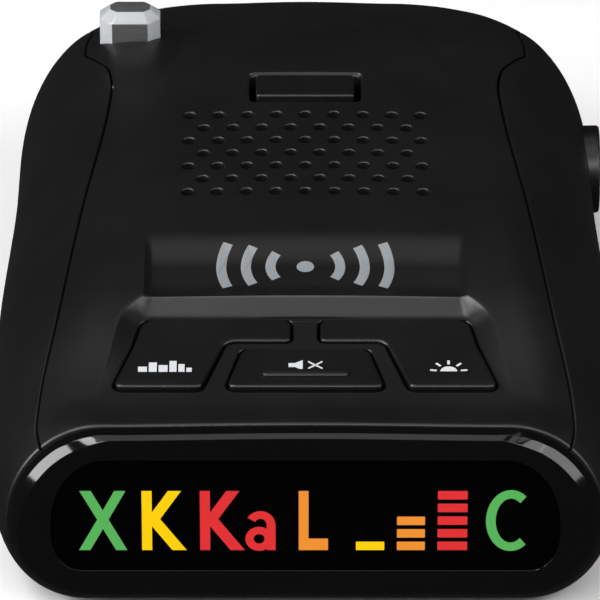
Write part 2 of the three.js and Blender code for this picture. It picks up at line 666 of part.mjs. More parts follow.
addPiece('main_board', mainBoard(), MATERIAL.board);
addPiece('horn_antenna', hornAntenna(), MATERIAL.horn);
addPiece('radar_shield', box(-14, 10, 62, 77.6, BOARD_TOP + 0.05, 16.4), MATERIAL.metal);
addPiece('processor_chip', box(-8, 4, 34, 46, BOARD_TOP + 0.05, 9), MATERIAL.chip);
addPiece('display_connector', box(-10, 10, 7.4, 11, BOARD_TOP + 0.05, 10.4), MATERIAL.white);
for (const [name, [solid, material]] of Object.entries(speakerParts())) addPiece(name, solid, material);

addPiece('volume_knob', volumeKnob(), MATERIAL.key);
addPiece('volume_shaft', rod('x', 1.5, [KNOB.s, KNOB.z], 29.25, 33.9, 14), MATERIAL.metal);
addPiece('volume_pot', box(23, 29.2, KNOB.s - 5, KNOB.s + 5, BOARD_TOP + 0.05, 19.4), MATERIAL.metal);
addPiece('power_jack', powerJack(), MATERIAL.chip);
addPiece('power_pin', rod('x', 0.6, [JACK.s, JACK.z], JACK.x0 + 0.1, JACK.x1 - 1, 10), MATERIAL.copper);

for (const [place, x, s] of CASE_SCREWS) {
  addPiece(`case_screw_${place}`, screw(x, s, 1.6, 2.3, 1.5, 1.05, 15, true), MATERIAL.metal);
}
for (const [place, x, s] of BOARD_SCREWS) {
  addPiece(`board_screw_${place}`, screw(x, s, BOARD_TOP + 1.3, 1.9, 1.2, 0.9, 3, false), MATERIAL.metal);
}

export default group;
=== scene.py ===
"""Radar detector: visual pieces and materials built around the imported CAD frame.

Lengths are in millimetres until mesh_object() turns them into metres. A station s is the distance
back from the display face, so y = s - LENGTH / 2.
"""

import math

import bmesh
import bpy
import numpy as np
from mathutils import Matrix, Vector


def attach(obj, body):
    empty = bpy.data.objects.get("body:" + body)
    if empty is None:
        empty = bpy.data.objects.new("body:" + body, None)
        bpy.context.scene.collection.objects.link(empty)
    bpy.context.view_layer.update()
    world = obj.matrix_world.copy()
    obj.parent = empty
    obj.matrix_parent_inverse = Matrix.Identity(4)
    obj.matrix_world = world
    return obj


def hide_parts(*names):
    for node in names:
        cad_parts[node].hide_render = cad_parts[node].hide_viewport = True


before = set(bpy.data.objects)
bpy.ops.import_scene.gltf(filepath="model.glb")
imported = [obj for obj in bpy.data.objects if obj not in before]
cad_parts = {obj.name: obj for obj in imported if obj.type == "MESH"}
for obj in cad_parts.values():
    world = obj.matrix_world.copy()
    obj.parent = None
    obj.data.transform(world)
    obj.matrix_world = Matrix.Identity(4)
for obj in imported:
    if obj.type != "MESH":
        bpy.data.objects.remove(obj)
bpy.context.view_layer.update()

MM = 0.001

# ---- Dimensions shared with the CAD model ---------------------------------------------------

LENGTH = 106.0
FACE_HALF_WIDTH = 32.3
MID_HALF_WIDTH = 35.75
REAR_HALF_WIDTH = 34.6
WALL = 1.8
PARTING_Z = 8.4
REAR_START = 78.2
REAR_SPAN = LENGTH - REAR_START
LAST_S = LENGTH - 0.1
REAR_POWER = 2.85
REAR_ROOT = 1.8
REAR_TOP_RADIUS = 8.4
REAR_BOTTOM_RADIUS = 6.0
BEZEL_DEPTH, BEZEL_EDGE = 2.1, 0.95
BEZEL_TOP_SHARE, BEZEL_CORNER_SHARE = 0.12, 0.62
COVER_FRONT, FRONT_EDGE = 2.4, 0.32
DECK_CROWN = 0.25
HIP_X = 9.0
DECK = [
    (0, 23.35), (2.4, 23.75), (5, 24.2), (9, 24.95), (14, 25.95), (18, 26.75), (22.8, 27.6),
    (27, 28.3), (33, 29.1), (39, 29.6), (45, 29.9), (62, 30.3), (70, 30.6), (76, 30.85),
    (82, 30.7), (88, 30.05), (94, 29.05), (100, 27.7), (106, 27.5),
]
COVER_EDGE = [
    (0, 28.6), (2.4, 29.4), (5.6, 29.9), (9, 29.7), (24, 27.85), (46, 25.5), (66, 23.3),
    (71, 23), (75, 23.45), (79, 25.3), (81.3, 26.5), (84.2, 26.4), (88.5, 25.8), (92, 26.4),
    (94, 27.7), (96, 30.5), (98, 36),
]
TILT = math.radians(8)
POCKET_S, POCKET_Z = 2.0, 23.1
KEY_PROUD = 0.55
KEY_FRONT_Q, KEY_ARM_Q, KEY_BACK_Q, MUTE_BACK_Q = 7.67, 16.56, 20.5, 15.1
KEY_DEPTH, KEY_EDGE, KEY_SHRINK = 2.9, 0.3, 0.02
KEY_GAP, BACK_GAP = 0.3, 0.03
MOUTH_EDGE, MOUTH_DROP = 0.16, 0.18
GRILLE_ROWS, GRILLE_COLUMNS = 7, 9
GRILLE_PITCH_X, GRILLE_PITCH_S, GRILLE_FIRST_S = 3.4, 3.057, 45.55
GRILLE_RADIUS = 0.77
GRILLE_FIELD_X, GRILLE_FIELD_S0, GRILLE_FIELD_S1 = 15.5, 44, 65.5
SEAM_TURN, SEAM_RUN = 93.4, 1.2
SEAM_HALF_GAP, SEAM_EDGE, SEAM_DEPTH = 0.12, 0.24, 5.4
RELEASE_X, RELEASE_S0, RELEASE_S1, RELEASE_TOP, RELEASE_BOTTOM = 5.85, 67.7, 73.1, 31.2, 27.4
CHANNEL_X, CHANNEL_Z0, CHANNEL_Z1 = 12.3, 19.4, 22.6
LENS_X, LENS_S0, LENS_S1, LENS_HALF, LENS_TOP = -21.05, 81.1, 86.4, 3.65, 34.9
LENS_CHAMFER_IN, LENS_CHAMFER_DOWN = 1.25, 1.05
KNOB_S, KNOB_Z, KNOB_RADIUS, KNOB_X0, KNOB_X1 = 80.0, 14.8, 5.3, 31.6, 35.6
JACK_S, JACK_Z, JACK_RADIUS = 50.0, 12.0, 3.0
LASER_X, LASER_HALF_X, LASER_Z, LASER_HALF_Z = 14.5, 5.0, 12.6, 3.0
WINDOW_X, WINDOW_Z0, WINDOW_Z1 = 28.2, 6.6, 20.6
WINDOW_TOP, WINDOW_LOW = (6.1, 8.2), (3.2, 4.6)
CASE_SCREWS = [(-24.5, 26), (24.5, 26), (-23, 91), (23, 91)]
LABEL = (-20, 20, 62, 84)


# ---- Small maths ----------------------------------------------------------------------------

def clamp01(t):
    return np.clip(t, 0.0, 1.0)


def smooth(t):
    t = clamp01(t)
    return t * t * (3 - 2 * t)


def quarter_drop(t):
    return 1 - np.sqrt(1 - clamp01(t) ** 2)


def quarter(edge, degrees):
    """Steps (rise, spread) round a rounded edge of radius edge, at the angles given."""
    return [(edge * math.sin(t), edge * (1 - math.cos(t))) for t in np.radians(degrees)]


def spline(table):
    """A smooth curve through (station, value) knots, with no overshoot between them."""
    knots = np.array(table, float)
    x, y = knots[:, 0], knots[:, 1]
    h, slope = np.diff(x), np.diff(y) / np.diff(x)
    m = np.zeros_like(y)
    m[0], m[-1] = slope[0], slope[-1]
    for i in range(1, len(y) - 1):
        if slope[i - 1] * slope[i] > 0:
            w1, w2 = 2 * h[i] + h[i - 1], h[i] + 2 * h[i - 1]
            m[i] = (w1 + w2) / (w1 / slope[i - 1] + w2 / slope[i])

    def value(s):
        s = np.clip(s, x[0], x[-1])
        i = np.clip(np.searchsorted(x, s, side="right") - 1, 0, len(h) - 1)
        t = (s - x[i]) / h[i]
        return ((1 + 2 * t) * (1 - t) ** 2 * y[i] + t * (1 - t) ** 2 * h[i] * m[i]
                + t * t * (3 - 2 * t) * y[i + 1] + t * t * (t - 1) * h[i] * m[i + 1])

    return value


deck_line = spline(DECK)
cover_edge = spline(COVER_EDGE)


def half_width(s):
    opening = 1 - (1 - clamp01(s / 26)) ** 4
    front = FACE_HALF_WIDTH + (MID_HALF_WIDTH - FACE_HALF_WIDTH) * opening
    body = REAR_HALF_WIDTH + (MID_HALF_WIDTH - REAR_HALF_WIDTH) * smooth((72 - s) / 36)
    t = clamp01((s - REAR_START) / REAR_SPAN)
    return np.where(s < 26, front, body * (1 - t ** REAR_POWER) ** (1 / REAR_ROOT))


def deck_z(s):
    return deck_line(s) - REAR_TOP_RADIUS * quarter_drop((s - LENGTH + REAR_TOP_RADIUS) / REAR_TOP_RADIUS)


def under_z(s):
    rear = 4 * quarter_drop((s - LENGTH + REAR_BOTTOM_RADIUS) / REAR_BOTTOM_RADIUS)
    return 3.4 * (1 - clamp01(s / 7)) ** 2 + rear


def waist_z(s):
    return 11 + 2 * smooth(s / 60)


def shoulder_x(s):
    return 11 + 3 * smooth(s / 40) - 3.1 * smooth((s - 60) / 30)


def main_sizes(s):
    """Half-width, deck height, waist height and shoulder width of the housing at s."""
    half = float(half_width(s))
    return half, float(deck_z(s)), float(waist_z(s)), min(float(shoulder_x(s)), half * 0.85)


def section(s, inset, low, high, flat):
    """Half of the housing's cross-section at s, from the bottom centre round to the top centre."""
    half = half_width(s) - inset
    top = deck_z(s) - inset
    bottom = under_z(s) + inset
    waist = waist_z(s)
    r_top = min(shoulder_x(s) - inset, half * 0.85)
    r_low = min(HIP_X - inset, half * 0.8)
    points = [(u * (half - r_low), bottom) for u in np.linspace(0, 1, 5)[:-1]]
    for a in np.linspace(-math.pi / 2, 0, low + 1)[:-1]:
        points.append((half - r_low * (1 - math.cos(a)), waist + (waist - bottom) * math.sin(a)))
    for a in np.linspace(0, math.pi / 2, high + 1)[:-1]:
        points.append((half - r_top * (1 - math.cos(a)), waist + (top - waist) * math.sin(a)))
    for u in np.linspace(1, 0, flat + 1):
        points.append((u * (half - r_top), top + DECK_CROWN * (1 - u * u) ** 2))
    return points


def ring(s, inset=0.0, at=None, low=14, high=26, flat=30):
    """The whole cross-section at s as points (x, s, z), drawn in by inset and placed at station at."""
    right = section(s, inset, low, high, flat)
    left = [(-x, z) for x, z in right[-2:0:-1]]
    return np.array([(x, s if at is None else at, z) for x, z in right + left])


# ---- Meshes ---------------------------------------------------------------------------------

def mesh_object(name, verts, faces):
    mesh = bpy.data.meshes.new(name)
    points = np.array(verts, float)
    points[:, 1] -= LENGTH / 2
    mesh.from_pydata((points * MM).tolist(), [], [list(map(int, f)) for f in faces])
    bm = bmesh.new()
    bm.from_mesh(mesh)
    bmesh.ops.recalc_face_normals(bm, faces=bm.faces)
    bm.to_mesh(mesh)
    bm.free()
    obj = bpy.data.objects.new(name, mesh)
    bpy.context.collection.objects.link(obj)
    return obj


def loft(name, rings, caps=True):
    """A closed solid through rings of equal length."""
    count = len(rings[0])
    verts = [tuple(p) for r in rings for p in r]
    faces = []
    for r in range(len(rings) - 1):
        for i in range(count):
            a, b = r * count + i, r * count + (i + 1) % count
            faces.append((a, b, b + count, a + count))
    if caps:
        faces.append(tuple(range(count))[::-1])
        faces.append(tuple(range((len(rings) - 1) * count, len(rings) * count)))
    return mesh_object(name, verts, faces)


def torus_loft(name, rings):
    """Rings joined one to the next and the last back to the first, such as a frame round a hole."""
    count, total = len(rings[0]), len(rings)
    verts = [tuple(p) for r in rings for p in r]
    faces = []
    for r in range(total):
        following = (r + 1) % total
        for i in range(count):
            j = (i + 1) % count
            faces.append((r * count + i, r * count + j, following * count + j, following * count + i))
    return mesh_object(name, verts, faces)


def prism(name, outline, z0, z1):
    return loft(name, [[(x, s, z) for x, s in outline] for z in (z0, z1)])


def block(name, x0, x1, s0, s1, z0, z1):
    return prism(name, [(x0, s0), (x1, s0), (x1, s1), (x0, s1)], z0, z1)


def rod(name, axis, radius, centre, profile, sides=48):
    """A turned solid along an axis. The profile is a list of (position along it, radius factor)."""
    rings = []
    for at, scale in profile:
        angles = np.linspace(0, 2 * math.pi, sides, endpoint=False)
        a, b = radius * scale * np.cos(angles), radius * scale * np.sin(angles)
        if axis == "x":
            rings.append([(at, centre[0] + u, centre[1] + v) for u, v in zip(a, b)])
        elif axis == "y":
            rings.append([(centre[0] + u, at, centre[1] + v) for u, v in zip(a, b)])
        else:
            rings.append([(centre[0] + u, centre[1] + v, at) for u, v in zip(a, b)])
    return loft(name, rings)


def apply_modifiers(obj):
    graph = bpy.context.evaluated_depsgraph_get()
    made = bpy.data.meshes.new_from_object(obj.evaluated_get(graph))
    old = obj.data
    obj.modifiers.clear()
    obj.data = made
    bpy.data.meshes.remove(old)
    return obj


def boolean(obj, tools, operation="DIFFERENCE"):
    for tool in tools:
        modifier = obj.modifiers.new("cut", "BOOLEAN")
        modifier.operation = operation
        modifier.solver = "MANIFOLD"
        modifier.object = tool
    apply_modifiers(obj)
    for tool in tools:
        bpy.data.objects.remove(tool, do_unlink=True)
    return obj


def clean(obj, angle=32.0, merge=0.004):
    """Welds slivers, shades smooth and keeps the edges sharper than angle crisp."""
    bm = bmesh.new()
    bm.from_mesh(obj.data)
    bmesh.ops.remove_doubles(bm, verts=bm.verts, dist=merge * MM)
    bmesh.ops.dissolve_degenerate(bm, edges=bm.edges, dist=1e-7)
    bm.to_mesh(obj.data)
    bm.free()
    obj.data.shade_smooth()
    obj.data.set_sharp_from_angle(angle=math.radians(angle))
    return obj


# ---- Materials ------------------------------------------------------------------------------

def node_material(name, color, roughness, **settings):
    material = bpy.data.materials.new(name)
    material.use_nodes = True
    shader = material.node_tree.nodes["Principled BSDF"]
    shader.inputs["Base Color"].default_value = (*color, 1)
    shader.inputs["Roughness"].default_value = roughness
    for key, value in settings.items():
        shader.inputs[key.replace("_", " ")].default_value = value
    return material


def add_grain(material, scale, bump, color_shift=0.0, rough_shift=0.0, distance=0.00002):
    """Fine moulded texture: a bump, with a slight wander in colour and roughness."""
    tree = material.node_tree
    nodes, links = tree.nodes, tree.links
    shader = nodes["Principled BSDF"]
    place = nodes.new("ShaderNodeTexCoord")
    fine = nodes.new("ShaderNodeTexNoise")
    fine.inputs["Scale"].default_value = scale
    fine.inputs["Detail"].default_value = 3
    links.new(place.outputs["Object"], fine.inputs["Vector"])
    rise = nodes.new("ShaderNodeBump")
    rise.inputs["Strength"].default_value = bump
    rise.inputs["Distance"].default_value = distance
    links.new(fine.outputs["Fac"], rise.inputs["Height"])
    links.new(rise.outputs["Normal"], shader.inputs["Normal"])
    broad = nodes.new("ShaderNodeTexNoise")
    broad.inputs["Scale"].default_value = scale / 60
    broad.inputs["Detail"].default_value = 4
    links.new(place.outputs["Object"], broad.inputs["Vector"])
    if color_shift:
        base = shader.inputs["Base Color"].default_value[:3]
        ramp = nodes.new("ShaderNodeValToRGB")
        ramp.color_ramp.elements[0].position = 0.3
        ramp.color_ramp.elements[1].position = 0.7
        ramp.color_ramp.elements[0].color = (*[c * (1 - color_shift) for c in base], 1)
        ramp.color_ramp.elements[1].color = (*[c * (1 + color_shift) for c in base], 1)
        links.new(broad.outputs["Fac"], ramp.inputs["Fac"])
        links.new(ramp.outputs["Color"], shader.inputs["Base Color"])
    if rough_shift:
        level = shader.inputs["Roughness"].default_value
        spread = nodes.new("ShaderNodeMapRange")
        spread.inputs["From Min"].default_value = 0.25
        spread.inputs["From Max"].default_value = 0.75
        spread.inputs["To Min"].default_value = level - rough_shift
        spread.inputs["To Max"].default_value = level + rough_shift
        links.new(broad.outputs["Fac"], spread.inputs["Value"])
        links.new(spread.outputs["Result"], shader.inputs["Roughness"])
    return material


def grained(name, color, roughness, grain, **settings):
    """A material with the moulded texture; grain holds add_grain's own values."""
    return add_grain(node_material(name, color, roughness, **settings), *grain)


CASE = grained("case_satin", (0.0042, 0.0039, 0.0040), 0.38, (5200, 0.35, 0.1, 0.03))
KEYCAP = grained("key_satin", (0.0040, 0.0037, 0.0038), 0.36, (5200, 0.3, 0.08, 0.03))
GLOSS = grained("bezel_gloss", (0.0022, 0.0022, 0.0024), 0.09, (900, 0.02, 0.1, 0.02))
WINDOW = grained("window_black", (0.0003, 0.0003, 0.0003), 0.2, (900, 0.01, 0.2, 0.02),
                 Specular_IOR_Level=0.12)
# Dark plastic for the carried-over inner CAD parts. It is also painted shade on the speaker holes' walls:
# darker and less shiny than the case, so the holes read dark.
INNER_PLASTIC_AND_HOLE_SHADE = grained("inner_plastic", (0.003, 0.003, 0.003), 0.6, (4000, 0.3, 0.1, 0.04),
                Specular_IOR_Level=0.15)
DECK_PRINT = grained("deck_print", (0.20, 0.21, 0.22), 0.45, (4000, 0.1, 0.06, 0.04))


def glow(name, color, strength=1.0):
    """A lit icon: dark plastic that shines in its own colour."""
    material = node_material(name, tuple(c * 0.02 for c in color), 0.6, Specular_IOR_Level=0.1)
    tree = material.node_tree
    shader = tree.nodes["Principled BSDF"]
    shader.inputs["Emission Strength"].default_value = strength
    place = tree.nodes.new("ShaderNodeTexCoord")
    noise = tree.nodes.new("ShaderNodeTexNoise")
    noise.inputs["Scale"].default_value = 300
    ramp = tree.nodes.new("ShaderNodeValToRGB")
    ramp.color_ramp.elements[0].color = (*[c * 0.94 for c in color], 1)
    ramp.color_ramp.elements[1].color = (*color, 1)
    tree.links.new(place.outputs["Object"], noise.inputs["Vector"])
    tree.links.new(noise.outputs["Fac"], ramp.inputs["Fac"])
    tree.links.new(ramp.outputs["Color"], shader.inputs["Emission Color"])
    return material


def dress(obj, material, body, slot, *nodes):
    """Gives a piece its material, its body and the CAD nodes it stands for. The slot argument is not
    used.
    """
    obj.data.materials.clear()
    obj.data.materials.append(material)
    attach(obj, body)
    if nodes:
        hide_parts(*nodes)
    return obj


# ---- Key pocket ------------------------------------------------------------------------------

def mirrored(outline):
    return [(-x, q) for x, q in reversed(outline)]


CITY_OUTLINE = [
    (-21.5, KEY_FRONT_Q), (-11.7, KEY_FRONT_Q), (-9.0, KEY_ARM_Q), (-1.65, KEY_ARM_Q),
    (-1.65, KEY_BACK_Q), (-17.9, KEY_BACK_Q), (-18.6, 19.4), (-19.3, 15.5),
]
MUTE_OUTLINE = [(-8.85, KEY_FRONT_Q), (8.85, KEY_FRONT_Q), (7.1, MUTE_BACK_Q), (-7.1, MUTE_BACK_Q)]
KEYS = {"city": CITY_OUTLINE, "mute": MUTE_OUTLINE, "dim": mirrored(CITY_OUTLINE)}


def from_pocket(x, q, h):
    """A point q up the pocket's floor and h above it, as (x, s, z)."""
    return (x, POCKET_S + q * math.cos(TILT) - h * math.sin(TILT),
            POCKET_Z + q * math.sin(TILT) + h * math.cos(TILT))


def rounded(outline, radii, steps=6):
    """A plan outline with its corners rounded; radii is one number or one for each corner."""
    points = [Vector(p) for p in outline]
    if not hasattr(radii, "__len__"):
        radii = [radii] * len(points)
    made = []
    for i, corner in enumerate(points):
        before = (points[i - 1] - corner).normalized()
        after = (points[(i + 1) % len(points)] - corner).normalized()
        angle = before.angle(after)
        if radii[i] <= 0 or angle > math.radians(176):
            made.append(tuple(corner))
            continue
        reach = radii[i] / math.tan(angle / 2)
        centre = corner + (before + after).normalized() * (radii[i] / math.sin(angle / 2))
        start, end = corner + before * reach - centre, corner + after * reach - centre
        a0 = math.atan2(start.y, start.x)
        turn = (math.atan2(end.y, end.x) - a0 + math.pi) % (2 * math.pi) - math.pi
        for k in range(steps + 1):
            a = a0 + turn * k / steps
            made.append((centre.x + radii[i] * math.cos(a), centre.y + radii[i] * math.sin(a)))
    return made


def offset(outline, margin):
    """Moves a closed outline outwards by margin along its corner normals."""
    points = np.array(outline, float)
    area = np.sum(points[:, 0] * np.roll(points[:, 1], -1) - np.roll(points[:, 0], -1) * points[:, 1])
    sign = 1 if area > 0 else -1
    before = points - np.roll(points, 1, axis=0)
    after = np.roll(points, -1, axis=0) - points
    n1 = np.stack([before[:, 1], -before[:, 0]], 1)
    n2 = np.stack([after[:, 1], -after[:, 0]], 1)
    n1 /= np.linalg.norm(n1, axis=1, keepdims=True)
    n2 /= np.linalg.norm(n2, axis=1, keepdims=True)
    middle = n1 + n2
    middle /= np.linalg.norm(middle, axis=1, keepdims=True)
    reach = sign * margin / np.maximum(np.sum(middle * n1, axis=1), 0.3)
    return points + middle * reach[:, None]


def pocket_loft(name, levels):
    return loft(name, [[from_pocket(x, q, h) for x, q in outline] for outline, h in levels])


KEY_CORNERS = {
    "city": [0.9, 0.9, 1.6, 0.7, 0.9, 1.6, 2.0, 0],
    "mute": [0.9, 0.9, 1.2, 1.2],
}
KEY_CORNERS["dim"] = KEY_CORNERS["city"][::-1]


FOOT_S, RIM_S = 22.7, 25.06
MOUTH_X = [
    (2.4, 29.0), (4, 28.2), (7, 26.0), (10, 23.7), (13, 22.5), (18, 21.6), (21.2, 20.95),
    (22.4, 20.4), (23.7, 19.4), (25.06, 18.3), (30, 18.3), (106, 18.3),
]
FLOOR_X = [
    (2.4, 23.2), (7, 22.3), (9.6, 21.72), (17.35, 19.52), (21.2, 18.82), (22.4, 18.2),
    (23.2, 17.8), (25.06, 16.6), (27, 15.9), (106, 15.9),
]
mouth_line, floor_line = spline(MOUTH_X), spline(FLOOR_X)


def soft_step(t, foot=0.12, rim=0.05):
    """A straight ramp from 0 to 1 with a rounded foot and a tighter rounded rim."""
    t = clamp01(t)
    low = np.where(t < 2 * foot, t * t / (4 * foot), t - foot)
    top = 1 - foot
    return np.where(t > 1 - 2 * rim, top - (1 - t) ** 2 / (4 * rim), low) / top


def pocket_depth(x, s, deck):
    """How far the key pocket lies below the deck: deepest at its back, run out at the front."""
    floor = POCKET_Z + (s - POCKET_S) * math.tan(TILT)
    side = (np.abs(x) - floor_line(s)) / np.maximum(mouth_line(s) - floor_line(s), 0.02)
    back = (s - FOOT_S) / (RIM_S - FOOT_S)
    blend = 0.3 * smooth((s - 16) / 4)
    gap = np.maximum(blend - np.abs(side - back), 0)
    wall = np.maximum(side, back) + np.where(blend > 0, gap ** 2 / (4 * np.maximum(blend, 1e-6)), 0)
    front = smooth((14 - s) / 5)
    rise = (1 - front) * soft_step(wall) + front * smooth(wall)
    entry = smooth((s - COVER_FRONT) / 6.6)
    return (deck - floor) * (1 - rise) * entry


# ---- Housing ---------------------------------------------------------------------------------

FLANK_DEPTH, FLANK_BACK, FLANK_X = 0.8, 26, 34.5
SCOOP_DEPTH, SCOOP_FRONT, SCOOP_BACK, SCOOP_X = 0.95, 22.5, 36.8, 18.3
PLATEAU_DROP, PLATEAU_FRONT, PLATEAU_BACK = 0.2, 72.5, 88.0
PLATEAU_CORNER_X, PLATEAU_CORNER_S = 12.2, 87.9
BUMP_HEIGHT, BUMP_X, BUMP_FRONT, BUMP_BACK = 1.05, LENS_X + 0.9, 81.5, 84


def deck_relief(x, s, deck):
    """Shaping of the deck: the key pocket, the scoop behind it, the far plateau and the lens bump."""
    sideways = np.abs(x)
    fade = smooth((s - COVER_FRONT) / 6) * smooth((FLANK_BACK - s) / 16)
    flank = -FLANK_DEPTH * fade * smooth((FLANK_X - sideways) / 11.5)
    pocket = -pocket_depth(x, s, deck + flank)
    along = smooth((s - SCOOP_FRONT) / 5.0) * smooth((SCOOP_BACK - s) / 5.8)
    inward = clamp01((SCOOP_X - sideways) / 0.9)
    scoop = -SCOOP_DEPTH * along * (1 - (1 - inward) ** 1.7)
    beyond_side = (sideways - PLATEAU_CORNER_X) * 0.955 + (s - PLATEAU_CORNER_S) * 0.2955
    beyond = np.maximum(s - PLATEAU_BACK, beyond_side)
    plateau = -PLATEAU_DROP * smooth(beyond / 0.8) * smooth((s - PLATEAU_FRONT) / 5)
    across = np.abs(x - BUMP_X) / 5.0
    ahead = np.maximum(BUMP_FRONT - s, 0) / 10.2
    behind = np.maximum(s - BUMP_BACK, 0) / 5.0
    bump = BUMP_HEIGHT * np.maximum(1 - across ** 3 - ahead ** 1.35 - behind ** 2, 0) ** 1.15
    return flank + pocket + scoop + plateau + bump


def station_list():
    """Stations along the housing, closest together where the surface turns most."""
    behind_scoop, before_lens, behind_lens = 38, 70, 92
    entry = np.linspace(COVER_FRONT, 16, 46)
    floor = np.linspace(16, FOOT_S - 0.4, 22)[1:]
    foot = np.linspace(FOOT_S - 0.2, FOOT_S + 0.8, 7)
    wall = np.linspace(FOOT_S + 1, RIM_S - 0.45, 5)
    rim = RIM_S + np.array([-0.25, -0.12, -0.04, 0, 0.1, 0.3])
    scoop = np.linspace(RIM_S + 0.6, behind_scoop, 36)
    middle = np.linspace(behind_scoop, before_lens, 48)[1:]
    lens = np.linspace(before_lens, behind_lens, 66)[1:]
    rear = behind_lens + (LAST_S - behind_lens) * (1 - (1 - np.linspace(0, 1, 46)[1:]) ** 2.2)
    return np.concatenate([entry, floor, foot, wall, rim, scoop, middle, lens, rear])


def deck_profile(s):
    """The upper right of the section, from the waist to the centre line, dense in points (x, z)."""
    half, top, waist, r_top = main_sizes(s)
    a = np.linspace(0, math.pi / 2, 90)
    u = np.linspace(1, 0, 70)[1:]
    x = np.concatenate([half - r_top * (1 - np.cos(a)), u * (half - r_top)])
    z = np.concatenate([waist + (top - waist) * np.sin(a), top + DECK_CROWN * (1 - u * u) ** 2])
    return x, z


def deck_height(x, s):
    """Height of the plain deck over plan point (x, s)."""
    xs, zs = deck_profile(s)
    return float(np.interp(-abs(x), -xs, zs))


def skin_height(x, s):
    """Height of the finished skin over plan point (x, s)."""
    deck = deck_height(x, s)
    fade = float(smooth((deck - float(deck_z(s)) + 2.6) / 1.6))
    return deck + float(deck_relief(np.float64(x), np.float64(s), deck)) * fade


def skin_ring(s, outer=60, wall=14, inner=40, low=16):
    """The finished outside of the housing at station s."""
    xs, zs = deck_profile(s)
    length = np.concatenate([[0], np.cumsum(np.hypot(np.diff(xs), np.diff(zs)))])
    mouth = min(float(mouth_line(s)), xs[0] * 0.82)
    floor = min(float(floor_line(s)), mouth * 0.94)
    along = np.linspace(0, float(np.interp(-mouth, -xs, length)), outer + 1)
    right = [np.stack([np.interp(along, length, xs), np.interp(along, length, zs)], 1)]
    for a, b, count in ((mouth, floor, wall), (floor, 0, inner)):
        x = np.linspace(a, b, count + 1)[1:]
        right.append(np.stack([x, np.interp(-x, -xs, zs)], 1))
    top = np.concatenate(right)
    bottom = np.array(section(s, 0.0, low, 2, 2)[: low + 4])
    full = np.concatenate([bottom, top, top[-2::-1] * [-1, 1], bottom[:0:-1] * [-1, 1]])
    fade = smooth((full[:, 1] - deck_z(s) + 2.6) / 1.6)
    upper = full[:, 1] > waist_z(s)
    full[:, 1] += np.where(upper, deck_relief(full[:, 0], s, full[:, 1]) * fade, 0)
    return np.stack([full[:, 0], np.full(len(full), s), full[:, 1]], 1)


def eased_ring(s):
    """The skin ring at s, drawn in where the housing's front edge is rounded."""
    points = skin_ring(s)
    left = max(FRONT_EDGE - (s - COVER_FRONT), 0)
    inset = FRONT_EDGE - math.sqrt(max(FRONT_EDGE ** 2 - left ** 2, 0))
    if inset > 0:
        points[:, [0, 2]] = offset(points[:, [0, 2]], -inset)
    return points


def housing_form():
    """The whole outside of the housing as one closed solid."""
    front = COVER_FRONT + FRONT_EDGE * (1 - np.cos(np.linspace(0, math.pi / 2, 6)))
    stations = np.concatenate([front, station_list()[2:]])
    return loft("housing_form", [eased_ring(s) for s in stations])


def inner_form(inset):
    """The solid left inside the housing at a depth of inset, open through the front."""
    rings = [ring(COVER_FRONT, inset, at, 10, 14, 16) for at in (-3.0, 1.5)]
    for s in np.linspace(COVER_FRONT + 1, LAST_S, 70):
        rings.append(ring(s, inset, s - inset * float(smooth((s - 60) / 40)), 10, 14, 16))
    return loft("inner_form", rings)


def surface_point(x, s):
    """The finished skin's point over plan point (x, s)."""
    return np.array([x, s, skin_height(x, s)])


def seam_path(side):
    """The line of the seam between the top cover and a side panel, as points on the skin."""
    points = []
    for s in np.concatenate([np.linspace(COVER_FRONT, 68, 110), np.linspace(68.4, SEAM_TURN, 72)]):
        points.append(surface_point(side * float(cover_edge(s)), s))
    points.insert(0, points[0] + (points[0] - points[1]) * 3)
    turn_top, waist = main_sizes(SEAM_TURN)[1:3]
    start = math.asin(min((points[-1][2] - waist) / (turn_top - waist), 1))
    for u in np.linspace(0, 1, 30)[1:]:
        s = SEAM_TURN + SEAM_RUN * float(smooth(u * 1.6))
        half, top, _, r_top = main_sizes(s)
        angle = start * (1 - u)
        x = half - r_top * (1 - math.cos(angle))
        points.append(np.array([side * x, s, waist + (top - waist) * math.sin(angle)]))
    wall = points[-1][0]
    for z in np.linspace(waist, PARTING_Z - 1.5, 8)[1:]:
        points.append(np.array([wall, SEAM_TURN + SEAM_RUN, z]))
    return np.array(points)


def seam_normals(points, side):
    """The direction out of the housing at each point of a seam."""
    made = []
    for p in points:
        half, top, waist, r_top = main_sizes(min(p[1], SEAM_TURN + SEAM_RUN))
        c = max(abs(p[0]) - half + r_top, 0) / (r_top ** 2)
        h = max(p[2] - waist, 0) / ((top - waist) ** 2)
        n = np.array([side * c, -0.02, h])
        if np.linalg.norm(n) < 1e-6:
            n = np.array([side, 0, 0.001])
        made.append(n / np.linalg.norm(n))
    return np.array(made)


def seam_tool(side):
    """A thin blade along the seam, flared at the top so that it rounds both edges."""
    points = seam_path(side)
    profile = [(-SEAM_HALF_GAP, -SEAM_DEPTH), (-SEAM_HALF_GAP, -SEAM_EDGE)]
    for up, out in quarter(SEAM_EDGE, (20, 40, 60, 80)):
        profile.append((-SEAM_HALF_GAP - out, up - SEAM_EDGE))
    profile.append((-SEAM_HALF_GAP - SEAM_EDGE - 0.25, 1.2))
    profile += [(-a, b) for a, b in reversed(profile)]
    rings = []
    for i, (p, n) in enumerate(zip(points, seam_normals(points, side))):
        ahead = points[min(i + 1, len(points) - 1)] - points[max(i - 1, 0)]
        ahead /= np.linalg.norm(ahead)
        n = n - ahead * np.dot(n, ahead)
        n /= np.linalg.norm(n)
        across = np.cross(ahead, n)
        rings.append([tuple(p + across * a + n * b) for a, b in profile])
    return loft("seam", rings)


def held_back(outline, limit):
    """Keeps an opening or a cap from growing past its back edge, so that the edge stays tight."""
    made = np.array(outline, float)
    made[:, 1] = np.minimum(made[:, 1], limit)
    return made


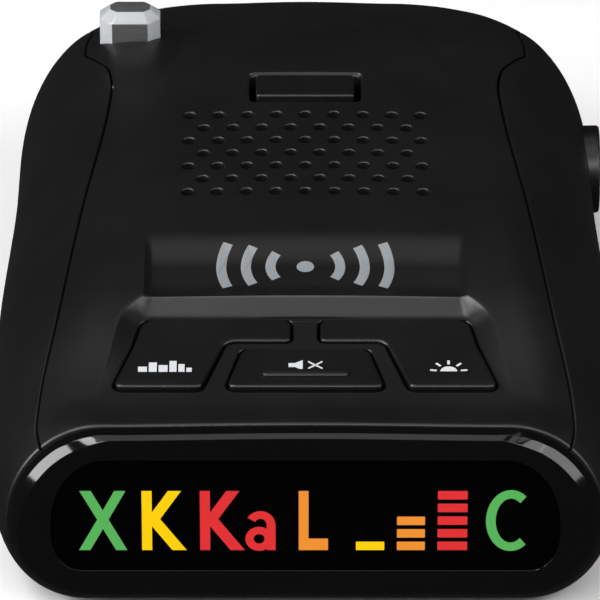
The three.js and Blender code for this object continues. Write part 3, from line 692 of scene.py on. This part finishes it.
def key_opening(name, outline, corners):
    """The hole that a key stands in, a little wider than the key and with a rounded mouth."""
    base = rounded(outline, corners, 5)
    shape = offset(base, KEY_GAP)
    back = max(q for _, q in base) + BACK_GAP
    levels = [(shape, -4.0), (shape, -MOUTH_DROP)]
    levels += [(offset(shape, out), up - MOUTH_DROP) for up, out in quarter(MOUTH_EDGE, (30, 60, 88))]
    levels.append((offset(shape, 0.3), 0.4))
    return pocket_loft(name, [(held_back(level, back), h) for level, h in levels])


def grille_tool():
    """All the speaker holes as one cutting mesh, each with a small rounded mouth."""
    verts, faces = [], []
    sides = 20
    profile = [(-4.0, GRILLE_RADIUS), (-MOUTH_EDGE, GRILLE_RADIUS)]
    profile += [(up - MOUTH_EDGE, GRILLE_RADIUS + out) for up, out in quarter(MOUTH_EDGE, (25, 50, 75))]
    profile.append((0.6, GRILLE_RADIUS + 0.75))
    for row in range(GRILLE_ROWS):
        count = GRILLE_COLUMNS - row % 2
        for column in range(count):
            x = (column - (count - 1) / 2) * GRILLE_PITCH_X
            s = GRILLE_FIRST_S + row * GRILLE_PITCH_S
            top = surface_point(x, s)[2]
            slope = deck_z(s + 0.5) - deck_z(s - 0.5)
            base = len(verts)
            for h, r in profile:
                for k in range(sides):
                    a = 2 * math.pi * k / sides
                    dx, ds = r * math.cos(a), r * math.sin(a)
                    verts.append((x + dx, s + ds, top + h + slope * ds))
            for p in range(len(profile) - 1):
                for k in range(sides):
                    a, b = base + p * sides + k, base + p * sides + (k + 1) % sides
                    faces.append((a, b, b + sides, a + sides))
            last = base + (len(profile) - 1) * sides
            faces.append(tuple(base + k for k in range(sides))[::-1])
            faces.append(tuple(last + k for k in range(sides)))
    return mesh_object("grille_tool", verts, faces)


def flared(name, outline_at, z_low, z_surface, edge):
    """A straight opening whose mouth is rounded; outline_at(grow) gives its plan outline."""
    levels = [(z_low, 0.0), (z_surface - edge, 0.0)]
    levels += [(z_surface - edge + up, out) for up, out in quarter(edge, (25, 50, 75))]
    levels.append((z_surface + 1.2, edge + 0.5))
    return loft(name, [[(x, s, z) for x, s in outline_at(grow)] for z, grow in levels])


def rect(x0, x1, s0, s1, radius, steps=6):
    return rounded([(x0, s0), (x1, s0), (x1, s1), (x0, s1)], radius, steps)


def lens_outline(margin):
    """The lens's outline in plan, an oblong with cut corners, grown by margin."""
    half, corner = LENS_HALF + margin, 1.5 + 0.586 * margin
    s0, s1 = LENS_S0 - margin, LENS_S1 + margin
    right = [(half - corner, s0), (half, s0 + corner), (half, s1 - corner), (half - corner, s1)]
    return [(LENS_X + x, s) for x, s in right + mirrored(right)]


def release_well(grow):
    """The plan outline of the recess round the release key, grown by grow."""
    half = RELEASE_X + 0.75 + grow
    return rect(-half, half, RELEASE_S0 - 0.75 - grow, RELEASE_S1 + 0.55 + grow, 0.7 + grow)


def pocket_slab():
    """The pocket's floor, a plate under the keys that joins the skin."""
    outline = [(-26.2, 0.2), (26.2, 0.2), (25.7, 16), (20.4, 24.4), (-20.4, 24.4), (-25.7, 16)]
    slab = pocket_loft("slab", [(outline, -1.7), (outline, 4.0)])
    boolean(slab, [block("behind_bezel", -40, 40, -5, 5.9, 0, 45)])
    boolean(slab, [inner_form(0.9)], "INTERSECT")
    return boolean(slab, [pocket_loft("clear", [(outline, -0.04), (outline, 6.0)])])


def build_housing():
    """The hollow housing with every opening, seam and the parting line cut through it."""
    shell = housing_form()
    boolean(shell, [inner_form(WALL)])
    boolean(shell, [pocket_slab()], "UNION")
    keys = [key_opening(k + "_opening", KEYS[k], KEY_CORNERS[k]) for k in KEYS]
    boolean(shell, keys + [grille_tool()])
    cuts = [
        flared("release_cut", release_well, 24, float(deck_z(70.2)) + 0.2, 0.3),
        loft("lens_cut", [[(x, s, z) for x, s in lens_outline(0.12)] for z in (20, 45)]),
        rod("knob_cut", "x", KNOB_RADIUS + 0.3, (KNOB_S, KNOB_Z), [(27, 1), (45, 1)], 64),
        rod("jack_cut", "x", JACK_RADIUS + 0.3, (JACK_S, JACK_Z), [(28, 1), (45, 1)]),
        block("slot_cut", -CHANNEL_X, CHANNEL_X, 92, 120, CHANNEL_Z0, CHANNEL_Z1),
        block("laser_cut", LASER_X - LASER_HALF_X, LASER_X + LASER_HALF_X, 92, 120,
              LASER_Z - LASER_HALF_Z, LASER_Z + LASER_HALF_Z),
        block("label_cut", *LABEL, -1, 0.5),
    ]
    for x, s in CASE_SCREWS:
        cuts.append(rod("well", "z", 2.7, (x, s), [(-1, 1.25), (0.0, 1.08), (0.35, 1), (3.4, 1)]))
    boolean(shell, cuts)
    for side in (-1, 1):
        boolean(shell, [seam_tool(side)])
    return boolean(shell, [parting_tool()])


def parting_tool():
    """The line all round between the upper and lower case, open 0.3 mm with rounded edges."""
    gap, edge = 0.15, 0.22
    profile = [(gap, 2.6), (gap, edge)]
    profile += [(gap + out, edge - up) for up, out in quarter(edge, (30, 60, 85))]
    profile.append((gap + edge + 0.3, -1.0))
    profile += [(-h, inward) for h, inward in reversed(profile)]
    path = [(wall_x(s), s) for s in np.concatenate([[0.5], station_list()[::2], [LAST_S]])]
    outline = path + mirrored(path)
    spaced = [b for a, b in zip([outline[-1]] + outline, outline) if math.dist(a, b) > 0.05]
    rings = []
    for h, inward in profile:
        rings.append([(x, s, PARTING_Z + h) for x, s in offset(spaced, -inward)])
    return torus_loft("parting", rings)


def wall_x(s):
    """Half-width of the housing at the height of the parting line."""
    half, bottom, waist = float(half_width(s)), float(under_z(s)), float(waist_z(s))
    r_low = min(HIP_X, half * 0.8)
    c = (waist - PARTING_Z) / (waist - bottom)
    return half - r_low * (1 - math.sqrt(max(1 - c * c, 0)))


def loose_parts(obj):
    """Splits a mesh into its separate bodies, largest first."""
    bpy.ops.object.select_all(action="DESELECT")
    obj.select_set(True)
    bpy.context.view_layer.objects.active = obj
    bpy.ops.mesh.separate(type="LOOSE")

    def box_size(part):
        return np.prod([max(d, 1e-9) for d in part.dimensions])

    return sorted(bpy.context.selected_objects, key=box_size, reverse=True)


def skin_node(part):
    """Which CAD node a loose body of the housing stands for, by where it lies."""
    corners = np.array([part.matrix_world @ Vector(c) for c in part.bound_box]) / MM
    low, high = corners.min(0), corners.max(0)
    if high[2] < PARTING_Z + 0.6:
        return "bottom_shell"
    if low[0] > 10:
        return "right_side_panel"
    if high[0] < -10:
        return "left_side_panel"
    return "top_cover"


SMALLEST_SKIN = 400
skins = {}
for part in loose_parts(build_housing()):
    node = skin_node(part)
    if node in skins or len(part.data.polygons) < SMALLEST_SKIN:
        bpy.data.objects.remove(part, do_unlink=True)
    else:
        skins[node] = part
for node, part in skins.items():
    part.name = node + "_skin"
    clean(part)
    dress(part, CASE, "housing", "case_plastic", node)
cover = skins["top_cover"].data
# Painted shade: the steep walls of the speaker holes get the darker, duller inner plastic in place of the
# case plastic.
cover.materials.append(INNER_PLASTIC_AND_HOLE_SHADE)
for face in cover.polygons:
    x, y, z = face.center / MM
    in_grille = abs(x) < GRILLE_FIELD_X and GRILLE_FIELD_S0 < y + LENGTH / 2 < GRILLE_FIELD_S1
    if in_grille and abs(face.normal.z) < 0.45:
        face.material_index = 1

# ---- Bezel and display -----------------------------------------------------------------------

def window_ring(margin, s, steps=(10, 14)):
    """The display window's outline at s, grown by margin; its corners are quarter ellipses."""
    right = []
    low_x, low_z = WINDOW_LOW
    top_x, top_z = WINDOW_TOP
    for a in np.linspace(0, math.pi / 2, steps[0]):
        x = WINDOW_X - low_x * (1 - math.sin(a))
        z = WINDOW_Z0 + low_z * (1 - math.cos(a))
        right.append((x, z, a - math.pi / 2))
    for a in np.linspace(0, math.pi / 2, steps[1]):
        x = WINDOW_X - top_x * (1 - math.cos(a))
        z = WINDOW_Z1 - top_z * (1 - math.sin(a))
        right.append((x, z, a))
    moved = [(x + margin * math.cos(a), z + margin * math.sin(a)) for x, z, a in right]
    return [(x, s, z) for x, z in moved] + [(-x, s, z) for x, z in reversed(moved)]


def bezel_ring(s, inset):
    """The bezel's outline at s, drawn in by inset: least at the top and sides, most at the corners."""
    station = s if s > 0.01 else 0.0
    points = ring(station, 0.0, s, 18, 30, 20)
    plan = points[:, [0, 2]]
    inward = offset(plan, -1.0) - plan
    corner = np.where(inward[:, 1] < 0, np.abs(inward[:, 0] * inward[:, 1]) * 2, 0)
    share = BEZEL_TOP_SHARE + (BEZEL_CORNER_SHARE - BEZEL_TOP_SHARE) * smooth(corner / 0.8)
    points[:, [0, 2]] = plan + inward * (inset * share)[:, None]
    return points


def build_bezel():
    """The display surround: a bevelled front edge, the window's opening and a skirt in the case."""
    rings = [(BEZEL_DEPTH, 1.5), (BEZEL_DEPTH, 0.4)]
    for t in np.radians((30, 60, 90)):
        rings.append((BEZEL_DEPTH - 0.24 + 0.24 * math.cos(t), 0.4 * (1 - math.sin(t))))
    rings += [(1.5, 0.0), (1.2, 0.0)]
    turn = BEZEL_EDGE / 5
    rings += [(BEZEL_EDGE - up, out) for up, out in quarter(turn, (0, 11, 22, 34, 45))]
    near = rings[-1]
    far = near[::-1]
    rings += [tuple(p + (q - p) * u for p, q in zip(near, far)) for u in (0.06, 0.5, 0.94)]
    rings += [(out, BEZEL_EDGE - up) for up, out in quarter(turn, (45, 34, 23, 12, 0))]
    rings.append((0.0, BEZEL_EDGE + 0.5))
    body = loft("bezel_body", [bezel_ring(s, inset) for s, inset in reversed(rings)])
    mouth = ((0.5, -1.0), (0.13, -0.02), (0.05, 0.1), (0.05, 5.0))
    boolean(body, [loft("bezel_opening", [window_ring(margin, s) for margin, s in mouth])])
    skirt_rings = [ring(COVER_FRONT, WALL + 0.35, at, 14, 20, 12) for at in (BEZEL_DEPTH - 0.3, 5.4)]
    skirt = loft("skirt", skirt_rings)
    boolean(skirt, [loft("hollow", [window_ring(0.8, at) for at in (1.7, 7.0)])])
    boolean(body, [skirt], "UNION")
    return clean(body, 40)


dress(build_bezel(), GLOSS, "housing", "bezel_gloss", "front_bezel")

PANE = ((-0.12, 0.06), (-0.03, 0.1), (0.0, 0.18), (0.0, 1.9))
pane = loft("display_pane", [window_ring(margin, s) for margin, s in PANE])
dress(clean(pane, 40), WINDOW, "housing", "display_glass", "display_window")

GREEN, YELLOW = (0.095, 0.445, 0.100), (1.0, 0.63, 0.0)
RED, ORANGE = (0.75, 0.030, 0.034), (0.87, 0.285, 0.030)
LIT = {"green": glow("icon_green", GREEN), "yellow": glow("icon_yellow", YELLOW),
       "red": glow("icon_red", RED), "orange": glow("icon_orange", ORANGE)}
ICON_LOW, ICON_HIGH = 9.17, 16.79
ICON_FRONT, ICON_BACK = 0.035, 0.065
LETTER_WEIGHT = 0.028


def plate(name, outline):
    """A thin flat shape standing on the display, from an outline of (x, z)."""
    return loft(name, [[(x, s, z) for x, z in outline] for s in (ICON_FRONT, ICON_BACK)])


def band_letter(name, text, x0, x1):
    """One plain capital on the display, from x0 to x1."""
    curve = bpy.data.curves.new(name, "FONT")
    curve.body = text
    curve.offset = LETTER_WEIGHT
    curve.extrude = 0.01
    curve.resolution_u = 6
    holder = bpy.data.objects.new(name + "_text", curve)
    bpy.context.collection.objects.link(holder)
    graph = bpy.context.evaluated_depsgraph_get()
    mesh = bpy.data.meshes.new_from_object(holder.evaluated_get(graph))
    bpy.data.objects.remove(holder, do_unlink=True)
    points = np.array([v.co for v in mesh.vertices])
    low, high = points.min(0), points.max(0)
    unit = (points - low) / np.maximum(high - low, 1e-9)
    for vertex, (u, v, w) in zip(mesh.vertices, unit):
        x, z = x0 + u * (x1 - x0), ICON_LOW + v * (ICON_HIGH - ICON_LOW)
        s = ICON_FRONT + (ICON_BACK - ICON_FRONT) * (1 - w)
        vertex.co = (x * MM, (s - LENGTH / 2) * MM, z * MM)
    obj = bpy.data.objects.new(name, mesh)
    bpy.context.collection.objects.link(obj)
    bm = bmesh.new()
    bm.from_mesh(mesh)
    bmesh.ops.remove_doubles(bm, verts=bm.verts, dist=1e-7)
    bmesh.ops.recalc_face_normals(bm, faces=bm.faces)
    bm.to_mesh(mesh)
    bm.free()
    return obj


LETTERS = [
    ("band_x", "X", -25.15, -19.8, "green"),
    ("band_k", "K", -18.15, -13.2, "yellow"),
    ("band_ka_first", "K", -11.7, -6.75, "red"),
    ("band_laser", "L", -0.75, 2.5, "orange"),
]
for name, text, x0, x1, color in LETTERS:
    dress(band_letter(name, text, x0, x1), LIT[color], "housing", "icon_film")


def curved_stroke(x, z, rx, rz, weight, a0, a1, steps=28):
    """A band of even weight along part of an ellipse, as an outline of (x, z)."""
    angles = np.radians(np.linspace(a0, a1, steps))
    rx_in, rz_in = rx - weight, rz - weight
    outer = [(x + rx * math.cos(a), z + rz * math.sin(a)) for a in angles]
    inner = [(x + rx_in * math.cos(a), z + rz_in * math.sin(a)) for a in angles[::-1]]
    return outer + inner


def oval(x, z, radii, s):
    """A whole ellipse at station s."""
    rx, rz = radii
    angles = np.linspace(0, 2 * math.pi, 36, endpoint=False)
    return [(x + rx * math.cos(a), s, z + rz * math.sin(a)) for a in angles]


def small_a():
    """The display's small letter a: a hook over a round bowl, and a stem."""
    hook = curved_stroke(-5.0, 12.35, 1.68, 1.85, 0.98, -4, 148, 18)
    stem = [(-4.3, ICON_LOW), (-3.32, ICON_LOW), (-3.32, 12.45), (-4.3, 12.45)]
    outside, inside = (1.52, 1.55), (0.6, 0.62)
    corners = ((outside, ICON_FRONT), (inside, ICON_FRONT), (inside, ICON_BACK), (outside, ICON_BACK))
    letter = boolean(plate("band_ka_second", hook), [plate("a_stem", stem)], "UNION")
    bowl = torus_loft("a_bowl", [oval(-5.15, 10.62, radii, s) for radii, s in corners])
    return boolean(letter, [bowl], "UNION")


c_outline = curved_stroke(22.75, 12.98, 2.75, 3.93, 1.08, 52, 308)
dress(plate("mode_city", c_outline), LIT["green"], "housing", "icon_film")
dress(small_a(), LIT["red"], "housing", "icon_film")

BAR_HEIGHT = 1.08
BARS = [
    ("low", 5.6, 8.75, 1, 1.635, "yellow"),
    ("mid", 10.15, 13.25, 3, 1.62, "orange"),
    ("high", 14.65, 17.95, 5, 1.635, "red"),
]
for place, x0, x1, count, pitch, color in BARS:
    for k in range(count):
        z0 = ICON_LOW + k * pitch
        bar = plate(f"signal_{place}_{k + 1}", rect(x0, x1, z0, z0 + BAR_HEIGHT, 0.06, 2))
        dress(bar, LIT[color], "housing", "icon_film")

# ---- Keys ------------------------------------------------------------------------------------

def key_height(name, q):
    """A key stands proud of the pocket's floor at its front and is flush with it at its back."""
    back_q = MUTE_BACK_Q if name == "mute" else KEY_BACK_Q
    return KEY_PROUD * (1 - clamp01((q - KEY_FRONT_Q) / (back_q - KEY_FRONT_Q)))


def key_cap(name):
    """A key as a solid with a rounded rim, tight along its back."""
    shape = np.array(rounded(KEYS[name], KEY_CORNERS[name], 6))
    back = shape[:, 1].max()

    def drawn_in(margin):
        """The outline drawn in by margin at the front and sides, and not at all at the back."""
        made = offset(shape, -margin)
        hold = smooth((shape[:, 1] - back + 0.9) / 0.9)
        made[:, 1] += (shape[:, 1] - made[:, 1]) * hold
        return made

    rings = []
    for h in (-KEY_DEPTH, -0.32):
        rings.append([from_pocket(x, q, h) for x, q in drawn_in(KEY_SHRINK)])
    rim = [(out, KEY_EDGE - up) for up, out in quarter(KEY_EDGE, (0, 18, 36, 54, 72, 90))]
    for inward, drop in rim + [(KEY_EDGE + 0.35, -0.01)]:
        outline = drawn_in(KEY_SHRINK + inward)
        rings.append([from_pocket(x, q, key_height(name, q) - drop) for x, q in outline])
    return loft(name + "_cap", rings)


for name in KEYS:
    cap = key_cap(name)
    if name == "mute":
        bar = rect(-4.85, 4.85, 9.55, 10.75, 0.5)
        rings = [(bar, 0.0), (bar, 0.62), (offset(bar, -0.08), 0.7), (offset(bar, -0.22), 0.74)]
        boolean(cap, [pocket_loft("bar", rings)], "UNION")
    dress(clean(cap, 38), KEYCAP, name + "_key_body", "key_plastic", name + "_key")

# ---- Release key, lens, knob -----------------------------------------------------------------

def release_plan(grow):
    """The release key's outline in plan, grown by grow."""
    half = RELEASE_X + grow
    return rect(-half, half, RELEASE_S0 - grow, RELEASE_S1 + grow, max(0.55 + grow, 0.05))


def build_release():
    """The release key, a block with a rounded rim."""
    edge = 0.28
    levels = [(RELEASE_BOTTOM, 0.0), (RELEASE_TOP - edge, 0.0)]
    levels += [(RELEASE_TOP - edge + up, out) for up, out in quarter(edge, (18, 36, 54, 72, 90))]
    levels.append((RELEASE_TOP + 0.005, edge + 0.5))
    return loft("release_cap", [[(x, s, z) for x, s in release_plan(-inward)] for z, inward in levels])


dress(clean(build_release(), 38), KEYCAP, "release_body", "key_plastic", "release_button")


def build_lens():
    """The clear block over the rear sensor, chamfered at the top and crisp at its edges."""
    levels = [(24.0, 0.0), (LENS_TOP - LENS_CHAMFER_DOWN, 0.0), (LENS_TOP, -LENS_CHAMFER_IN)]
    rings = [[(x, s, z) for x, s in lens_outline(margin)] for z, margin in levels]
    lens = loft("laser_lens_block", rings)
    bevel = lens.modifiers.new("bevel", "BEVEL")
    bevel.width = 0.12 * MM
    bevel.segments = 2
    bevel.limit_method = "ANGLE"
    bevel.angle_limit = math.radians(20)
    apply_modifiers(lens)
    return clean(lens, 25)


LENS_GRAIN = (700, 0.05, 0.02, 0.01)
LENS_GLASS = grained("lens_clear", (0.95, 0.96, 0.98), 0.04, LENS_GRAIN,
                     Transmission_Weight=0.95, IOR=1.49)
# Painted highlight: a whiter, less clear copy of the lens plastic for the chamfers and corner faces,
# standing in for the light they reflect and bend.
LENS_FACET_HIGHLIGHT = grained("lens_facet_painted_highlight", (0.9, 0.92, 0.95), 0.12, LENS_GRAIN, Transmission_Weight=0.62)
lens = dress(build_lens(), LENS_GLASS, "housing", "clear_lens", "laser_lens")
lens.data.materials.append(LENS_FACET_HIGHLIGHT)
# The chamfers and upright corner faces take the painted-highlight copy of the lens plastic.
for face in lens.data.polygons:
    chamfer = 0.3 < face.normal.z < 0.95
    upright_corner = 0.5 < abs(face.normal.x) < 0.9
    if chamfer or upright_corner:
        face.material_index = 1


def build_knob():
    """The volume knob: a dished cap with a rounded rim, a pointer groove and a bore for its shaft."""
    edge, dish = 0.35, 0.18
    profile = [(KNOB_X0, 0.94), (KNOB_X0 + 0.2, 0.985)]
    for up, out in quarter(edge, (0, 22, 45, 68, 90)):
        profile.append((KNOB_X1 - edge + up, 1 - out / KNOB_RADIUS))
    profile += [(KNOB_X1, 0.85), (KNOB_X1 - dish, 0.80), (KNOB_X1 - dish, 0.3)]
    knob = rod("knob_cap", "x", KNOB_RADIUS, (KNOB_S, KNOB_Z), profile, 120)
    pointer = block("pointer", KNOB_X1 - 0.5, KNOB_X1 + 1, KNOB_S - 0.35, KNOB_S + 0.35,
                    KNOB_Z + 1.6, KNOB_Z + 4.3)
    bore = rod("bore", "x", 1.65, (KNOB_S, KNOB_Z), [(KNOB_X0 - 1, 1), (KNOB_X1 - 1.4, 1)], 24)
    boolean(knob, [pointer, bore])
    return clean(knob, 38)


dress(build_knob(), KEYCAP, "volume_body", "key_plastic", "volume_knob")

# ---- Printed marks ---------------------------------------------------------------------------

def arc_band(cx, cy, r0, r1, a0, a1, steps=14):
    """The outline of a ring's sector."""
    outer = [(cx + r1 * math.cos(a), cy + r1 * math.sin(a)) for a in np.linspace(a0, a1, steps)]
    inner = [(cx + r0 * math.cos(a), cy + r0 * math.sin(a)) for a in np.linspace(a1, a0, steps)]
    return outer + inner


def disc(cx, cy, r, steps=24):
    return [(cx + r * math.cos(a), cy + r * math.sin(a))
            for a in np.linspace(0, 2 * math.pi, steps, endpoint=False)]


def deck_print(name, outline):
    """A thin printed shape lying on the deck, from a plan outline."""
    levels = []
    for lift in (0.004, 0.02):
        levels.append([(x, s, skin_height(x, s) + lift) for x, s in outline])
    obj = loft(name, levels)
    return dress(obj, DECK_PRINT, "housing", "label_film")


MARK_S = 30.9
deck_print("signal_mark_dot", disc(0, MARK_S, 1.0))
for k, radius in enumerate((3.4, 6.2, 9.0)):
    for side in (0, 1):
        spread = math.radians(34 - 5.5 * k)
        middle = math.pi * side
        band = arc_band(0, MARK_S, radius, radius + 1.15, middle - spread, middle + spread)
        deck_print(f"signal_mark_{'left' if side else 'right'}_{k + 1}", band)

KEY_PRINT = grained("key_print", (0.52, 0.53, 0.55), 0.45, (4000, 0.1, 0.05, 0.04))


def key_print(key, name, outline):
    """A thin printed shape on a key's top, from an outline of (x, q)."""
    levels = []
    for lift in (0.003, 0.018):
        levels.append([from_pocket(x, q, float(key_height(key, q)) + lift) for x, q in outline])
    return dress(loft(name, levels), KEY_PRINT, key + "_key_body", "label_film")


def bar_outline(x0, x1, q0, q1):
    return [(x0, q0), (x1, q0), (x1, q1), (x0, q1)]


LEGEND_Q = 10.45
CITY_X = -15.7
SKYLINE = [
    (-3.0, -2.0, 1.0), (-1.8, -0.9, 1.8), (-0.7, 0.3, 1.3), (0.5, 1.3, 2.1), (1.5, 2.2, 1.5),
    (2.4, 3.0, 0.8),
]
for k, (left, right, tall) in enumerate(SKYLINE):
    outline = bar_outline(CITY_X + left, CITY_X + right, LEGEND_Q, LEGEND_Q + tall)
    key_print("city", f"city_mark_{k + 1}", outline)

MUTE_Q = 11.95
SPEAKER = [(-1.9, -0.4), (-1.2, -0.4), (-0.3, -1.0), (-0.3, 1.0), (-1.2, 0.4), (-1.9, 0.4)]
key_print("mute", "mute_mark_speaker", [(x, MUTE_Q + q) for x, q in SPEAKER])
for k, tip in enumerate((-1, 1)):
    start, end = MUTE_Q - 0.7 * tip, MUTE_Q + 0.7 * tip
    outline = [(0.3, start - 0.16), (0.3, start + 0.16), (1.9, end + 0.16), (1.9, end - 0.16)]
    key_print("mute", f"mute_mark_cross_{k + 1}", outline)


def from_sun(angle, reach):
    """The point on the dim key that lies reach from the middle of its sun."""
    return np.array([16.0 + reach * math.cos(angle), LEGEND_Q + 0.1 + reach * math.sin(angle)])


SUN_RADIUS, RAY_START, RAY_END, RAY_HALF = 0.95, 1.35, 2.1, 0.15
key_print("dim", "dim_mark_sun", [from_sun(a, SUN_RADIUS) for a in np.linspace(0, math.pi, 16)])
for k, a in enumerate(np.linspace(0.12, math.pi - 0.12, 5)):
    across = np.array([-math.sin(a), math.cos(a)]) * RAY_HALF
    base, tip = from_sun(a, RAY_START), from_sun(a, RAY_END)
    outline = [base - across, tip - across, tip + across, base + across]
    key_print("dim", f"dim_mark_ray_{k + 1}", outline)

# ---- Carried-over CAD nodes --------------------------------------------------------------------

CAD_LOOKS = {
    "metal": node_material("plated_steel", (0.55, 0.55, 0.56), 0.3, Metallic=1.0),
    "board": node_material("green_board", (0.012, 0.09, 0.03), 0.35),
    "black": node_material("moulded_epoxy", (0.012, 0.012, 0.012), 0.5),
    "white": node_material("white_plastic", (0.6, 0.6, 0.57), 0.5),
    "laser": node_material("laser_filter", (0.03, 0.001, 0.002), 0.08),
    "paper": node_material("speaker_paper", (0.008, 0.008, 0.008), 0.85),
    "label": node_material("label_film", (0.28, 0.28, 0.275), 0.45),
    "horn": node_material("horn_zinc", (0.42, 0.42, 0.43), 0.45, Metallic=1.0),
    "brass": node_material("plated_pin", (0.75, 0.52, 0.22), 0.25, Metallic=1.0),
}
for material in CAD_LOOKS.values():
    add_grain(material, 3000, 0.15, 0.08, 0.05)
NODE_LOOK = {
    "rating_label": "label", "front_laser_window": "laser", "horn_antenna": "horn",
    "power_pin": "brass", "speaker_cone": "paper", "speaker_gasket": "paper",
    "light_guide": "white", "display_connector": "white",
    "display_board": "board", "key_board": "board", "rear_sensor_board": "board", "main_board": "board",
    "radar_shield": "metal", "speaker_basket": "metal", "volume_shaft": "metal", "volume_pot": "metal",
    "release_spring": "metal",
}
for node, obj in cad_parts.items():
    if "screw" in node:
        look = "metal"
    elif node.startswith("led_") or node.endswith("_plunger"):
        look = "white"
    else:
        look = NODE_LOOK.get(node, "black")
    material = INNER_PLASTIC_AND_HOLE_SHADE if node in ("bracket_socket", "release_latch") else CAD_LOOKS[look]
    for slot in obj.material_slots:
        slot.material = material

# ---- Camera, floor and lights ------------------------------------------------------------------

ELEVATION = math.radians(29)
CAMERA_DISTANCE = 750.0
CAMERA_LENS = 396.6
AIM = Vector((-0.61, 27 - LENGTH / 2, 26.0)) * MM
back = Vector((0, -math.cos(ELEVATION), math.sin(ELEVATION)))
camera_data = bpy.data.cameras.new("camera")
camera_data.sensor_width = 36.0
camera_data.lens = CAMERA_LENS
camera = bpy.data.objects.new("camera", camera_data)
camera.location = AIM + back * CAMERA_DISTANCE * MM
camera.rotation_mode = "QUATERNION"
camera.rotation_quaternion = (-back).to_track_quat("-Z", "Y")
camera_data.clip_start, camera_data.clip_end = 0.01, 20
bpy.context.collection.objects.link(camera)
bpy.context.scene.camera = camera

FLOOR_REACH, FLOOR_GAP = 3, 0.00005
floor_corners = [(x, y, 0) for x, y in bar_outline(-FLOOR_REACH, FLOOR_REACH, -FLOOR_REACH, FLOOR_REACH)]
floor_mesh = bpy.data.meshes.new("floor")
floor_mesh.from_pydata(floor_corners, [], [(0, 1, 2, 3)])
floor = bpy.data.objects.new("floor", floor_mesh)
floor.location.z = -FLOOR_GAP
bpy.context.collection.objects.link(floor)
floor_mesh.materials.append(grained("pale_floor", (0.86, 0.86, 0.86), 0.6, (400, 0.05, 0.01, 0.02)))
floor.visible_glossy = False

LIGHT_TARGET = Vector((0, 0, 0.02))
WORLD_STRENGTH = 0.019
LIGHTS = [
    ("front_low", (0, -0.669, 0.602), (1.0, 0.22), 4.4),
    ("front_high", (0, -0.248, 0.865), (1.0, 0.22), 0.9),
    ("overhead", (0, 0, 0.9), (1.0, 0.22), 0.8),
    ("overhead_back", (-0.1, 0.27, 0.86), (0.9, 0.2), 0.5),
    ("left_high", (-0.38, -0.248, 0.779), (0.3, 0.3), 2.8),
    ("left_side", (-0.69, -0.26, 0.31), (0.4, 0.5), 6.5),
    ("right_side", (0.69, -0.26, 0.31), (0.4, 0.5), 2.4),
    ("right_front", (0.433, -0.364, 0.566), (0.3, 0.2), 0.7),
]


def area_light(name, place, size, power):
    """A soft box of that size in metres, aimed at the detector."""
    data = bpy.data.lights.new(name, "AREA")
    data.shape = "RECTANGLE"
    data.size, data.size_y = size
    data.energy = power
    light = bpy.data.objects.new(name, data)
    light.location = place
    light.rotation_mode = "QUATERNION"
    light.rotation_quaternion = (LIGHT_TARGET - Vector(place)).to_track_quat("-Z", "Y")
    bpy.context.collection.objects.link(light)


for light_values in LIGHTS:
    area_light(*light_values)
world = bpy.data.worlds.new("studio")
world.use_nodes = True
world.node_tree.nodes["Background"].inputs["Color"].default_value = (1, 1, 1, 1)
world.node_tree.nodes["Background"].inputs["Strength"].default_value = WORLD_STRENGTH
bpy.context.scene.world = world
bpy.context.scene.view_settings.view_transform = "Standard"
